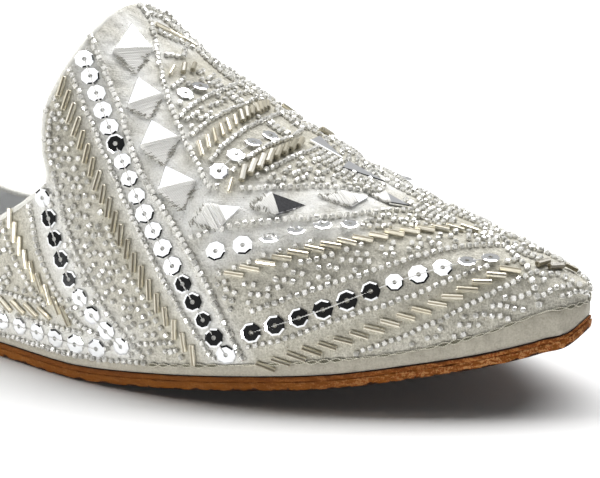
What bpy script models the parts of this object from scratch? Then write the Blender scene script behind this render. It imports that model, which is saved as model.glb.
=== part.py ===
"""A flat shoe with a pointed toe, an embroidered upper and a stacked leather sole.

The shoe stands empty on its sole. +X runs from heel to toe, +Z is up, and the origin is on the
floor under the middle of its length. Its last is straight, so both sides are mirror images.
"""

import math
from typing import NamedTuple

import bmesh
import bpy
import numpy as np

MM = 0.001

# Driving sizes of the shoe, in millimetres.
LENGTH = 250.0
BALL_WIDTH = 84.0
INSTEP_HEIGHT = 81.5
TOE_SPRING = 15.6
HEEL_HEIGHT = 53.0

# Thicknesses and clearances, in millimetres.
OUTSOLE_THICKNESS = 1.9
MIDSOLE_THICKNESS = 1.0
INSOLE_THICKNESS = 2.4
WALL = 2.0
EMBROIDERY_STEP = 0.8
SEAT_GAP = 0.3
SOLE_STACK = OUTSOLE_THICKNESS + SEAT_GAP + MIDSOLE_THICKNESS
UPPER_SEAT = SOLE_STACK + SEAT_GAP
UPPER_SETBACK = 1.0
INSOLE_CLEARANCE = 1.2
SOLE_EDGE_ROUNDING = 0.35
INSOLE_EDGE_ROUNDING = 0.8

# The back of the heel is tucked in at the sole, swells at mid height and leans forward above.
HEEL_TUCK = 0.7
HEEL_SWELL = 0.9
HEEL_LEAN = 3.5
HEEL_REACH = 55.0

# Grid of the upper: stations from toe to heel, and steps from its lower edge to the ridge.
STATIONS = 46
RING_STEPS = 14
LAYER_COLUMNS = 5
STEP_RISE = 0.5
OUTLINE_STEP = 0.05
REAR_COVER = 60.0


class Section(NamedTuple):
    """One cross-section of the last, as shares of the driving sizes.

    back is the distance behind the toe tip as a share of the length, width a share of the ball
    width, spring a share of the toe spring and crown a share of the instep height. flank and
    arch are the exponents of the side and of the top of the section's curve, and margin is the
    height in millimetres of the plain band between sole and embroidery.
    """

    back: float
    width: float
    spring: float
    crown: float
    flank: float
    arch: float
    margin: float


SECTIONS = (
    Section(back=0.000, width=0.000, spring=1.00, crown=0.088, flank=0.72, arch=0.71, margin=3.5),
    Section(back=0.006, width=0.131, spring=0.89, crown=0.108, flank=0.74, arch=0.71, margin=5.0),
    Section(back=0.028, width=0.262, spring=0.77, crown=0.151, flank=0.75, arch=0.72, margin=5.6),
    Section(back=0.064, width=0.405, spring=0.62, crown=0.210, flank=0.75, arch=0.72, margin=4.2),
    Section(back=0.120, width=0.583, spring=0.45, crown=0.290, flank=0.85, arch=0.78, margin=2.8),
    Section(back=0.184, width=0.762, spring=0.29, crown=0.373, flank=0.87, arch=0.78, margin=2.8),
    Section(back=0.256, width=0.905, spring=0.19, crown=0.480, flank=0.92, arch=0.78, margin=2.3),
    Section(back=0.336, width=0.990, spring=0.09, crown=0.618, flank=0.92, arch=0.84, margin=1.7),
    Section(back=0.420, width=0.990, spring=0.00, crown=0.797, flank=0.92, arch=0.92, margin=1.4),
    Section(back=0.500, width=0.893, spring=0.00, crown=1.000, flank=0.90, arch=0.92, margin=1.2),
    Section(back=0.600, width=0.774, spring=0.00, crown=1.170, flank=0.80, arch=0.90, margin=1.2),
    Section(back=0.720, width=0.702, spring=0.00, crown=1.290, flank=0.65, arch=0.80, margin=1.2),
    Section(back=0.860, width=0.690, spring=0.00, crown=1.350, flank=0.60, arch=0.80, margin=1.2),
    Section(back=0.940, width=0.583, spring=0.00, crown=1.350, flank=0.60, arch=0.80, margin=1.2),
    Section(back=0.986, width=0.310, spring=0.00, crown=1.350, flank=0.60, arch=0.80, margin=1.2),
    Section(back=1.000, width=0.000, spring=0.00, crown=1.350, flank=0.60, arch=0.80, margin=1.2),
)


class Edge(NamedTuple):
    """One point of the opening's edge seen from the side, in millimetres from the origin."""

    along: float
    height: float


# The collar from the back of the heel to the throat, then the rear edge of the tongue upwards.
OPENING_EDGE = (
    Edge(along=-134.0, height=HEEL_HEIGHT),
    Edge(along=-116.0, height=51.0),
    Edge(along=-86.0, height=34.0),
    Edge(along=-56.0, height=20.5),
    Edge(along=-34.0, height=16.5),
    Edge(along=-16.0, height=22.5),
    Edge(along=-3.0, height=31.3),
    Edge(along=6.0, height=37.4),
    Edge(along=10.8, height=42.0),
    Edge(along=8.6, height=49.0),
    Edge(along=7.4, height=56.0),
    Edge(along=9.2, height=64.0),
    Edge(along=11.2, height=71.0),
    Edge(along=12.0, height=84.0),
)
OPENING_TOP = 130.0
OPENING_HALF_SPAN = 60.0
OPENING_STEPS = 64

HALF_PI = math.pi / 2


def clear_scene():
    for old in list(bpy.data.objects):
        bpy.data.objects.remove(old, do_unlink=True)


def collection(name, hidden=False):
    made = bpy.data.collections.new(name)
    bpy.context.scene.collection.children.link(made)
    made.hide_render = hidden
    return made


def material(name, colour, roughness, metallic=0.0):
    made = bpy.data.materials.new(name)
    made.use_nodes = True
    shader = made.node_tree.nodes["Principled BSDF"]
    shader.inputs["Base Color"].default_value = (*colour, 1.0)
    shader.inputs["Roughness"].default_value = roughness
    shader.inputs["Metallic"].default_value = metallic
    made.diffuse_color = (*colour, 1.0)
    return made


def smooth_curve(knots, values, at, flat_ends=False):
    """Values at the places `at` on the smooth curve through the knots.

    Each span is a cubic whose slope at a knot is the weighted slope of its two neighbours, or
    level at both ends of the curve with flat_ends.
    """
    slopes = np.gradient(values, knots)
    if flat_ends:
        slopes[[0, -1]] = 0.0
    span = np.clip(np.searchsorted(knots, at, side="right") - 1, 0, len(knots) - 2)
    width = knots[span + 1] - knots[span]
    share = (at - knots[span]) / width
    start = (1 + 2 * share) * (1 - share) ** 2
    end = share**2 * (3 - 2 * share)
    leaving = share * (1 - share) ** 2 * width
    arriving = share**2 * (share - 1) * width
    return (
        start * values[span]
        + end * values[span + 1]
        + leaving * slopes[span]
        + arriving * slopes[span + 1]
    )


SHARES = np.array(SECTIONS)
KNOT_X = LENGTH * (0.5 - SHARES[:, 0])
KNOT_HALF_WIDTH = BALL_WIDTH / 2 * SHARES[:, 1]
KNOT_GIRTH = np.concatenate(
    [[0.0], np.cumsum(np.hypot(np.diff(KNOT_X), np.diff(KNOT_HALF_WIDTH)))]
)
GIRTH = KNOT_GIRTH[-1]


class Last(NamedTuple):
    """The last at one or many places along the edge of the sole, in millimetres."""

    x: np.ndarray
    half_width: np.ndarray
    crown: np.ndarray
    flank: np.ndarray
    arch: np.ndarray
    margin: np.ndarray


def last_at(girth):
    """The last at distances along the sole's edge from the toe tip to the middle of the heel."""

    def column(values, flat_ends=False):
        return smooth_curve(KNOT_GIRTH, values, girth, flat_ends)

    return Last(
        x=column(KNOT_X, flat_ends=True),
        half_width=np.maximum(column(KNOT_HALF_WIDTH), 0.0),
        crown=column(INSTEP_HEIGHT * SHARES[:, 3]),
        flank=column(SHARES[:, 4]),
        arch=column(SHARES[:, 5]),
        margin=column(SHARES[:, 6]),
    )


def spring_at(x):
    """Height of the sole's underside over the floor at distances along the shoe."""
    rise = smooth_curve(KNOT_X[::-1], TOE_SPRING * SHARES[::-1, 2], x)
    return np.maximum(rise, 0.0)


def set_back(girth, distance):
    """x and half width of the sole's outline, moved inwards square to itself by a distance."""
    last = last_at(girth)
    before = last_at(np.maximum(girth - OUTLINE_STEP, 0.0))
    after = last_at(np.minimum(girth + OUTLINE_STEP, GIRTH))
    along = after.x - before.x
    outward = after.half_width - before.half_width
    length = np.hypot(along, outward)
    x = last.x - distance * outward / length
    return x, np.maximum(last.half_width + distance * along / length, 0.0)


def upper_point(girth, angle):
    """Points of the upper's outer surface, in millimetres.

    The angle runs round a section from 90 degrees at the lower edge to 0 at the ridge. A section
    is y = half width * sin(angle) ** flank and z = crown * cos(angle) ** arch over the sole.
    """
    last = last_at(girth)
    x, half_width = set_back(girth, UPPER_SETBACK)
    rise = last.crown * np.maximum(np.cos(angle), 0.0) ** last.arch
    y = -half_width * np.sin(angle) ** last.flank
    z = spring_at(x) + UPPER_SEAT + rise
    share = rise / HEEL_HEIGHT
    window = np.clip((HEEL_REACH - LENGTH / 2 - x) / HEEL_REACH, 0.0, 1.0) ** 2
    swell = HEEL_SWELL * np.sin(math.pi * np.clip(share, 0.0, 1.0))
    x = x + window * (HEEL_TUCK - swell + HEEL_LEAN * share**2)
    return np.stack(np.broadcast_arrays(x, y, z), axis=-1)


def upper_normal(girth, angle):
    """Outward unit normals of the upper's surface, by differences along both directions."""
    before = np.maximum(girth - OUTLINE_STEP, 0.0)
    after = np.minimum(girth + OUTLINE_STEP, GIRTH)
    below = np.minimum(angle + 0.004, HALF_PI)
    above = np.maximum(angle - 0.004, 0.002)
    below = np.maximum(below, above + 0.004)
    along = upper_point(after, angle) - upper_point(before, angle)
    up = upper_point(girth, above) - upper_point(girth, below)
    normal = np.cross(up, along)
    normal /= np.maximum(np.linalg.norm(normal, axis=-1, keepdims=True), 1e-9)
    return normal


def angle_at_height(last, height):
    """The section angle whose point lies a height above the upper's lower edge."""
    share = np.clip(height / last.crown, 0.0, 1.0)
    return np.arccos(share ** (1.0 / last.arch))


def upper_half():
    """Grid of the near half of the upper: stations by rows from the lower edge to the ridge.

    The lowest rows are the plain band. Above its margin the surface steps outwards by the
    thickness of the embroidered cloth.
    """
    share = np.linspace(0.0, 1.0, STATIONS)
    girth = GIRTH * (0.75 * share + 0.25 * (1.0 - np.cos(math.pi * share)) / 2)
    last = last_at(girth)
    band_top = angle_at_height(last, last.margin)
    step_top = angle_at_height(last, last.margin + STEP_RISE)
    rear = np.clip(-last.x / 12.0, 0.0, 1.0)
    ring_end = rear * angle_at_height(last, REAR_COVER)
    ring = np.linspace(0.0, 1.0, RING_STEPS)
    field = step_top[:, None] + (ring_end - step_top)[:, None] * ring[None, :]
    lower = np.stack([np.full(STATIONS, HALF_PI), band_top], axis=1)
    angle = np.concatenate([lower, field], axis=1)
    girths = np.broadcast_to(girth[:, None], angle.shape)
    raised = np.zeros(angle.shape)
    raised[:, 2:] = EMBROIDERY_STEP
    points = upper_point(girths, angle) + raised[..., None] * upper_normal(girths, angle)
    points[..., 1] = np.minimum(points[..., 1], 0.0)
    points[[0, -1], :, 1] = 0.0
    on_ridge = ring_end == 0.0
    points[on_ridge, -1, 1] = 0.0
    return points


def layer_grid(bottom, inset=0.0):
    """Grid of the underside of a flat layer that follows the toe spring."""
    share = np.linspace(0.0, 1.0, STATIONS)
    girth = GIRTH * (0.6 * share + 0.4 * (1.0 - np.cos(math.pi * share)) / 2)
    x, half_width = set_back(girth, inset)
    half_width[[0, -1]] = 0.0
    across = np.linspace(1.0, -1.0, LAYER_COLUMNS)
    y = half_width[:, None] * across[None, :]
    z = spring_at(x) + bottom
    return np.stack(np.broadcast_arrays(x[:, None], y, z[:, None]), axis=-1)


def sheet(points):
    """An open mesh of quads through a grid of points, given in millimetres."""
    rows, columns = points.shape[:2]
    shape = bmesh.new()
    verts = [shape.verts.new(point) for point in (points.reshape(-1, 3) * MM).tolist()]
    for row in range(rows - 1):
        for column in range(columns - 1):
            first = row * columns + column
            corners = (first, first + 1, first + columns + 1, first + columns)
            shape.faces.new([verts[corner] for corner in corners])
    bmesh.ops.remove_doubles(shape, verts=shape.verts, dist=1e-6)
    return shape


def placed(name, shape, group, finish):
    """The object of a mesh that is ready, shaded smooth."""
    mesh = bpy.data.meshes.new(name)
    shape.to_mesh(mesh)
    shape.free()
    mesh.shade_smooth()
    mesh.materials.append(finish)
    made = bpy.data.objects.new(name, mesh)
    group.objects.link(made)
    return made


def mirror_across_length(made):
    modifier = made.modifiers.new("other side", "MIRROR")
    modifier.use_axis = (False, True, False)
    modifier.merge_threshold = 1e-5


def thicken(made, thickness):
    """Gives the sheet its wall, on the side away from its faces."""
    modifier = made.modifiers.new("thickness", "SOLIDIFY")
    modifier.thickness = thickness * MM
    modifier.offset = -1.0


def round_edges(made, width):
    modifier = made.modifiers.new("rounded edge", "BEVEL")
    modifier.width = width * MM
    modifier.segments = 2
    modifier.limit_method = "ANGLE"
    modifier.angle_limit = math.radians(50.0)


def sole_layer(name, bottom, thickness, rounding, group, finish, inset=0.0):
    """A layer of even height with a rounded edge, drawn up from its underside."""
    shape = sheet(layer_grid(bottom, inset))
    raised = bmesh.ops.extrude_face_region(shape, geom=shape.faces[:])["geom"]
    top = [item for item in raised if isinstance(item, bmesh.types.BMVert)]
    bmesh.ops.translate(shape, verts=top, vec=(0.0, 0.0, thickness * MM))
    bmesh.ops.recalc_face_normals(shape, faces=shape.faces)
    made = placed(name, shape, group, finish)
    round_edges(made, rounding)
    return made


def opening_cutter(group):
    """A block over collar and tongue, whose underside follows the opening's edge."""
    edge = np.array(OPENING_EDGE)
    knots = np.concatenate([[0.0], np.cumsum(np.hypot(*np.diff(edge, axis=0).T))])
    at = np.linspace(0.0, knots[-1], OPENING_STEPS)
    x = smooth_curve(knots, edge[:, 0], at)
    z = smooth_curve(knots, edge[:, 1], at)
    outline = [(a, -OPENING_HALF_SPAN, b) for a, b in zip(x, z)]
    outline.append((x[-1], -OPENING_HALF_SPAN, OPENING_TOP))
    outline.append((x[0], -OPENING_HALF_SPAN, OPENING_TOP))
    shape = bmesh.new()
    verts = [shape.verts.new((MM * a, MM * b, MM * c)) for a, b, c in outline]
    face = shape.faces.new(verts)
    drawn = bmesh.ops.extrude_face_region(shape, geom=[face])["geom"]
    far = [item for item in drawn if isinstance(item, bmesh.types.BMVert)]
    bmesh.ops.translate(shape, verts=far, vec=(0.0, 2 * OPENING_HALF_SPAN * MM, 0.0))
    bmesh.ops.recalc_face_normals(shape, faces=shape.faces)
    mesh = bpy.data.meshes.new("opening_cutter")
    shape.to_mesh(mesh)
    shape.free()
    made = bpy.data.objects.new("opening_cutter", mesh)
    made.hide_render = True
    made.display_type = "WIRE"
    group.objects.link(made)
    return made


def upper(group, cutters, finish):
    """The hollow upper: open at collar and tongue, and underneath where the sole closes it."""
    made = placed("upper", sheet(upper_half()), group, finish)
    mirror_across_length(made)
    thicken(made, WALL)
    cut = made.modifiers.new("opening", "BOOLEAN")
    cut.operation = "DIFFERENCE"
    cut.object = opening_cutter(cutters)
    return made


def build():
    clear_scene()
    shoe = collection("flat_shoe")
    cutters = collection("cutters", hidden=True)
    tan_leather = material("tan_sole_leather", (0.30, 0.11, 0.035), 0.6)
    edge_leather = material("sole_layer_leather", (0.24, 0.08, 0.025), 0.65)
    grey_lining = material("grey_lining", (0.30, 0.30, 0.30), 0.7)
    silver_cloth = material("silver_embroidered_cloth", (0.62, 0.61, 0.57), 0.45)
    sole_layer("outsole", 0.0, OUTSOLE_THICKNESS, SOLE_EDGE_ROUNDING, shoe, tan_leather)
    midsole_bottom = OUTSOLE_THICKNESS + SEAT_GAP
    sole_layer(
        "midsole", midsole_bottom, MIDSOLE_THICKNESS, SOLE_EDGE_ROUNDING, shoe, edge_leather
    )
    insole_inset = UPPER_SETBACK + WALL + INSOLE_CLEARANCE
    sole_layer(
        "insole", UPPER_SEAT, INSOLE_THICKNESS, INSOLE_EDGE_ROUNDING, shoe, grey_lining,
        inset=insole_inset,
    )
    upper(shoe, cutters, silver_cloth)


build()
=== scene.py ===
"""Visual model of a flat shoe with a pointed toe and bead embroidery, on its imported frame.

Lengths in the tables are in millimetres. +X runs from heel to toe, +Z is up, and the near side
of the shoe has negative y. Meshes are worked out in millimetres and written in metres.
"""

import logging
import math
from dataclasses import dataclass
from enum import Enum
from typing import Any, NamedTuple

import bpy
import numpy as np
from mathutils import Matrix


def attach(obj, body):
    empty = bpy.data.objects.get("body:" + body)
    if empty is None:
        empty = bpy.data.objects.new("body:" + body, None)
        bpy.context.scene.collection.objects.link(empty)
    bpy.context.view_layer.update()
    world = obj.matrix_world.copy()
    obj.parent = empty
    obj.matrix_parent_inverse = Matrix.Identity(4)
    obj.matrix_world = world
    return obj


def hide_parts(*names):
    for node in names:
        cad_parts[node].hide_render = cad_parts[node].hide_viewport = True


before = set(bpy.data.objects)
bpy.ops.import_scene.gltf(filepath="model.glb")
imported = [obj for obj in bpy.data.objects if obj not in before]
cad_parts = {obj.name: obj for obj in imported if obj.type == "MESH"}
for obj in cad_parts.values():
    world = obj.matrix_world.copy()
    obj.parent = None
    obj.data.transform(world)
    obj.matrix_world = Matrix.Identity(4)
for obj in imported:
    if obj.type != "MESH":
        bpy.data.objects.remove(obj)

MM = 0.001
BODY = "root"
HALF_PI = math.pi / 2
FLIP = np.array([1.0, -1.0, 1.0])
Array = np.ndarray
Triple = tuple[float, float, float]
log = logging.getLogger("flat_shoe")


# The last


class Section(NamedTuple):
    """One cross-section of the last, as shares of the driving sizes.

    back is the distance behind the toe tip as a share of the length, width a share of the ball
    width, spring a share of the toe spring and crown a share of the instep height. flank and
    arch are the exponents of the section's side and top, and margin is the height in
    millimetres of the plain band over the sole.
    """

    back: float
    width: float
    spring: float
    crown: float
    flank: float
    arch: float
    margin: float


SECTIONS = (
    Section(0.000, 0.000, 1.00, 0.088, 0.72, 0.71, 3.5),
    Section(0.006, 0.131, 0.89, 0.108, 0.74, 0.71, 5.0),
    Section(0.028, 0.262, 0.77, 0.151, 0.75, 0.72, 5.6),
    Section(0.064, 0.405, 0.62, 0.210, 0.75, 0.72, 4.2),
    Section(0.120, 0.583, 0.45, 0.290, 0.85, 0.78, 2.8),
    Section(0.184, 0.762, 0.29, 0.373, 0.87, 0.78, 2.8),
    Section(0.256, 0.905, 0.19, 0.480, 0.92, 0.78, 2.3),
    Section(0.336, 0.990, 0.09, 0.618, 0.92, 0.84, 1.7),
    Section(0.420, 0.990, 0.00, 0.797, 0.92, 0.92, 1.4),
    Section(0.500, 0.893, 0.00, 1.000, 0.90, 0.92, 1.2),
    Section(0.600, 0.774, 0.00, 1.170, 0.80, 0.90, 1.2),
    Section(0.720, 0.702, 0.00, 1.290, 0.65, 0.80, 1.2),
    Section(0.860, 0.690, 0.00, 1.350, 0.60, 0.80, 1.2),
    Section(0.940, 0.583, 0.00, 1.350, 0.60, 0.80, 1.2),
    Section(0.986, 0.310, 0.00, 1.350, 0.60, 0.80, 1.2),
    Section(1.000, 0.000, 0.00, 1.350, 0.60, 0.80, 1.2),
)


class Edge(NamedTuple):
    """One point of the opening's edge seen from the side."""

    along: float
    height: float


OPENING_EDGE = (
    Edge(-134.0, 53.0),
    Edge(-116.0, 51.0),
    Edge(-86.0, 34.0),
    Edge(-56.0, 20.5),
    Edge(-34.0, 16.5),
    Edge(-16.0, 22.5),
    Edge(-3.0, 31.3),
    Edge(6.0, 37.4),
    Edge(10.8, 42.0),
    Edge(8.6, 49.0),
    Edge(7.4, 56.0),
    Edge(9.2, 64.0),
    Edge(11.2, 71.0),
    Edge(12.0, 84.0),
)
# The collar meets the tongue at the edge's foremost point below this height
TONGUE_FOOT = 46.0


def smooth_curve(knots: Array, values: Array, at: Array, flat_ends: bool = False) -> Array:
    """Values on the smooth curve through the knots: a cubic a span, with neighbour slopes.

    Args:
        knots: Rising places of the knots.
        values: Values at the knots.
        at: Places asked for.
        flat_ends: Whether the curve is level at both ends.

    Returns:
        The value at each place.
    """
    slopes = np.gradient(values, knots)
    if flat_ends:
        slopes[[0, -1]] = 0.0
    span = np.clip(np.searchsorted(knots, at, side="right") - 1, 0, len(knots) - 2)
    width = knots[span + 1] - knots[span]
    share = (at - knots[span]) / width
    start = (1 + 2 * share) * (1 - share) ** 2
    end = share**2 * (3 - 2 * share)
    leaving = share * (1 - share) ** 2 * width
    arriving = share**2 * (share - 1) * width
    return (
        start * values[span]
        + end * values[span + 1]
        + leaving * slopes[span]
        + arriving * slopes[span + 1]
    )


def unit(vectors: Array) -> Array:
    """The vectors divided by their lengths."""
    return vectors / np.maximum(np.linalg.norm(vectors, axis=-1, keepdims=True), 1e-9)


def chord_lengths(points: Array) -> Array:
    """Distance along a line of points from its first point."""
    steps = np.linalg.norm(np.diff(points, axis=0), axis=-1)
    return np.concatenate([[0.0], np.cumsum(steps)])


def read_off(at: Array, length: Array, table: Array) -> Array:
    """Rows of a table at distances along its line, by straight spans."""
    return np.stack([np.interp(at, length, column) for column in table.T], axis=1)


def level_with(vectors: Array, normal: Array) -> Array:
    """The vectors' directions without their shares along the normals."""
    return unit(vectors - np.sum(vectors * normal, axis=1, keepdims=True) * normal)


def spun(angle: Array | float, start: Array, goal: Array) -> Array:
    """Directions turned by radians from a start towards a goal square to it."""
    angle = np.broadcast_to(angle, len(start))[:, None]
    return np.cos(angle) * start + np.sin(angle) * goal


class Station(NamedTuple):
    """The last at places along the sole's edge."""

    x: Array
    half_width: Array
    crown: Array
    flank: Array
    arch: Array
    margin: Array


@dataclass(frozen=True)
class ShoeForm:
    """The last and the seats on it, as the solids have them."""

    length: float = 250.0
    ball_width: float = 84.0
    instep_height: float = 81.5
    toe_spring: float = 15.6
    heel_height: float = 53.0
    outsole: float = 1.9
    midsole: float = 1.0
    gap: float = 0.3
    setback: float = 1.0
    heel_tuck: float = 0.7
    heel_swell: float = 0.9
    heel_lean: float = 3.5
    heel_reach: float = 55.0
    outline_step: float = 0.05
    angle_step: float = 0.004

    @property
    def seat(self) -> float:
        """Height of the upper's lower edge over the sole's underside."""
        return self.outsole + self.midsole + 2 * self.gap

    def knots(self) -> tuple[Array, Array, Array, Array]:
        """The section table with its x, half width and girth at each section."""
        shares = np.array(SECTIONS)
        x = self.length * (0.5 - shares[:, 0])
        half_width = self.ball_width / 2 * shares[:, 1]
        girth = chord_lengths(np.stack([x, half_width], axis=1))
        return shares, x, half_width, girth

    @property
    def girth(self) -> float:
        """Length of half of the sole's edge, from toe tip to heel."""
        return float(self.knots()[3][-1])

    def station(self, girth: Array) -> Station:
        """The last at distances along the sole's edge.

        Args:
            girth: Distances from the toe tip.

        Returns:
            Its sizes there.
        """
        shares, x, half_width, knots = self.knots()
        return Station(
            x=smooth_curve(knots, x, girth, flat_ends=True),
            half_width=np.maximum(smooth_curve(knots, half_width, girth), 0.0),
            crown=smooth_curve(knots, self.instep_height * shares[:, 3], girth),
            flank=smooth_curve(knots, shares[:, 4], girth),
            arch=smooth_curve(knots, shares[:, 5], girth),
            margin=smooth_curve(knots, shares[:, 6], girth),
        )

    def spring(self, x: Array) -> Array:
        """Height of the sole's underside over the floor at places along the shoe."""
        shares, knots, _, _ = self.knots()
        rise = smooth_curve(knots[::-1], self.toe_spring * shares[::-1, 2], x)
        return np.maximum(rise, 0.0)

    def outline(self, girth: Array, inset: Array | float) -> tuple[Array, Array]:
        """The sole's outline moved inwards square to itself.

        Args:
            girth: Distances from the toe tip.
            inset: How far it is moved.

        Returns:
            x and half width.
        """
        here = self.station(girth)
        before = self.station(np.maximum(girth - self.outline_step, 0.0))
        after = self.station(np.minimum(girth + self.outline_step, self.girth))
        along = after.x - before.x
        outward = after.half_width - before.half_width
        length = np.hypot(along, outward)
        x = here.x - inset * outward / length
        return x, np.maximum(here.half_width + inset * along / length, 0.0)

    def surface(self, girth: Array, angle: Array) -> Array:
        """Points of the upper's surface on the near side.

        A section is y = half width * sin(angle) ** flank and z = crown * cos(angle) ** arch over
        the sole, with the angle from 90 degrees at the sole to 0 at the ridge. The heel is
        tucked in below, swells at mid height and leans forward above.

        Args:
            girth: Distances along the sole's edge from the toe tip.
            angle: Angles round the section.

        Returns:
            Points, with x, y and z on the last axis.
        """
        here = self.station(girth)
        x, half_width = self.outline(girth, self.setback)
        rise = here.crown * np.maximum(np.cos(angle), 0.0) ** here.arch
        y = -half_width * np.sin(angle) ** here.flank
        z = self.spring(x) + self.seat + rise
        share = rise / self.heel_height
        window = (self.heel_reach - self.length / 2 - x) / self.heel_reach
        window = np.clip(window, 0.0, 1.0) ** 2
        swell = self.heel_swell * np.sin(math.pi * np.clip(share, 0.0, 1.0))
        x = x + window * (self.heel_tuck - swell + self.heel_lean * share**2)
        return np.stack(np.broadcast_arrays(x, y, z), axis=-1)

    def normal(self, girth: Array, angle: Array) -> Array:
        """Outward unit normals of the surface, by differences along both directions."""
        before = np.maximum(girth - self.outline_step, 0.0)
        after = np.minimum(girth + self.outline_step, self.girth)
        below = np.minimum(angle + self.angle_step, HALF_PI)
        above = np.maximum(angle - self.angle_step, 0.5 * self.angle_step)
        below = np.maximum(below, above + self.angle_step)
        along = self.surface(after, angle) - self.surface(before, angle)
        up = self.surface(girth, above) - self.surface(girth, below)
        return unit(np.cross(up, along))

    def angle_at(self, girth: Array, height: Array) -> Array:
        """Section angle of the point a height above the upper's lower edge."""
        here = self.station(girth)
        share = np.clip(height / here.crown, 0.0, 1.0)
        return np.arccos(share ** (1.0 / here.arch))


FORM = ShoeForm()


class Datum(Enum):
    """Where a chart's second number is measured from, over the surface."""

    RIDGE = "down from the ridge"
    SOLE = "up from the sole"


class Places(NamedTuple):
    """Points on the shoe with the directions that a trim piece lies along."""

    centre: Array
    along: Array
    normal: Array
    size: Array

    def mirrored(self) -> "Places":
        """The same places on the other side."""
        return Places(self.centre * FLIP, self.along * FLIP, self.normal * FLIP, self.size)

    def chosen(self, keep: Array) -> "Places":
        """The places that a mask or index keeps."""
        return Places(*(values[keep] for values in self))

    @property
    def across(self) -> Array:
        """Directions square to the places' length and normal."""
        return np.cross(self.normal, self.along)

    def turned(self, angle: Array | float) -> "Places":
        """The places turned about their normals, by radians."""
        return self._replace(along=spun(angle, self.along, self.across))

    def tipped(self, angle: Array | float) -> "Places":
        """The places tipped so that the far end rises, by radians."""
        normal = spun(angle, self.normal, -self.along)
        return self._replace(along=spun(angle, self.along, self.normal), normal=normal)

    def leaned(self, angle: Array) -> "Places":
        """The places turned to face higher, by radians."""
        up = unit(np.array([0.0, 0.0, 1.0]) - self.normal[:, 2:] * self.normal)
        normal = spun(angle, self.normal, up)
        return self._replace(along=level_with(self.along, normal), normal=normal)

    def rolled(self, angle: Array | float) -> "Places":
        """The places rolled about their own length, by radians."""
        return self._replace(normal=spun(angle, self.normal, self.across))


def joined_places(groups: list[Places]) -> Places:
    """Several groups of places as one."""
    return Places(*(np.concatenate(columns) for columns in zip(*groups)))


class Chart:
    """A flat map of the upper: x along the shoe, and a distance over its surface."""

    def __init__(
        self, form: ShoeForm, stations: int = 900, steps: int = 140, levels: int = 400
    ) -> None:
        """Measures the surface along its sections.

        Args:
            form: The last.
            stations: Sections measured.
            steps: Points measured on each.
            levels: Distances over the surface that the map holds for each.
        """
        self.form = form
        self.girth = np.linspace(form.outline_step, form.girth - form.outline_step, stations)
        angle = np.linspace(HALF_PI, 0.0, steps)
        points = form.surface(self.girth[:, None], angle[None, :])
        lengths = np.linalg.norm(np.diff(points, axis=1), axis=-1)
        climb = np.concatenate([np.zeros((stations, 1)), np.cumsum(lengths, axis=1)], axis=1)
        self.x = points[:, 0, 0]
        self.total = climb[:, -1]
        self.reach = float(self.total.max())
        self.levels = np.linspace(0.0, self.reach, levels)
        self.angles = np.stack([np.interp(self.levels, row, angle) for row in climb])

    def locate(self, x: Array, distance: Array, datum: Datum) -> tuple[Array, Array, Array]:
        """Girth, angle and side of places on the chart.

        Args:
            x: Places along the shoe.
            distance: Distances over the surface, negative past the ridge.
            datum: Where the distances start.

        Returns:
            Girth, section angle, and 1 for the near side or -1 for the far side.
        """
        rows = np.arange(len(self.x))
        row = np.interp(-x, -self.x, rows)
        low = np.clip(row.astype(int), 0, len(self.x) - 2)
        share = row - low
        climb = np.abs(distance)
        if datum is Datum.RIDGE:
            climb = np.interp(row, rows, self.total) - climb
        level = np.clip(climb / self.reach, 0.0, 1.0) * (len(self.levels) - 1)
        step = np.clip(level.astype(int), 0, len(self.levels) - 2)
        part = level - step
        here, ahead = (
            self.angles[line, step] * (1 - part) + self.angles[line, step + 1] * part
            for line in (low, low + 1)
        )
        angle = here * (1 - share) + ahead * share
        girth = np.interp(row, rows, self.girth)
        return girth, angle, np.where(distance < 0.0, -1.0, 1.0)

    def lifted(
        self, x: Array, distance: Array, datum: Datum, lift: Array | float
    ) -> tuple[Array, Array]:
        """Points over the surface, and its normals there.

        Args:
            x: Places along the shoe.
            distance: Distances over the surface.
            datum: Where the distances start.
            lift: Height over the surface.

        Returns:
            Points and normals.
        """
        girth, angle, side = self.locate(np.asarray(x), np.asarray(distance), datum)
        normal = self.form.normal(girth, angle)
        points = self.form.surface(girth, angle) + np.asarray(lift)[..., None] * normal
        flip = np.stack([np.ones_like(side), side, np.ones_like(side)], axis=-1)
        return points * flip, normal * flip


CHART = Chart(FORM)


def chart_curve(knots: tuple, samples: int = 240) -> Array:
    """Chart places on the smooth curve through a few knots, by its chord lengths."""
    table = np.array(knots, dtype=float)
    length = chord_lengths(table)
    at = np.linspace(0.0, length[-1], samples)
    if len(table) == 2:
        return table[0] + (at / length[-1])[:, None] * (table[1] - table[0])
    return np.stack([smooth_curve(length, column, at) for column in table.T], axis=1)


def strung(row: "Row", lift: float) -> Places:
    """Places at even distances along a row, from its first knot to its last.

    Args:
        row: The row.
        lift: Height over the surface.

    Returns:
        The places, each turned against the row as it says.
    """
    course = chart_curve(row.knots)
    points, normals = CHART.lifted(course[:, 0], course[:, 1], row.datum, lift)
    length = chord_lengths(points)
    count = row.count or int(round(length[-1] / row.pitch)) + 1
    at = np.linspace(0.0, length[-1], count)
    reach = 0.2
    ahead, behind = (read_off(at + step, length, points) for step in (reach, -reach))
    normal = unit(read_off(at, length, normals))
    along = level_with(unit(ahead - behind), normal)
    places = Places(read_off(at, length, points), along, normal, np.full(count, row.size))
    return places.turned(np.radians(np.linspace(*row.turn, count)))


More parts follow.
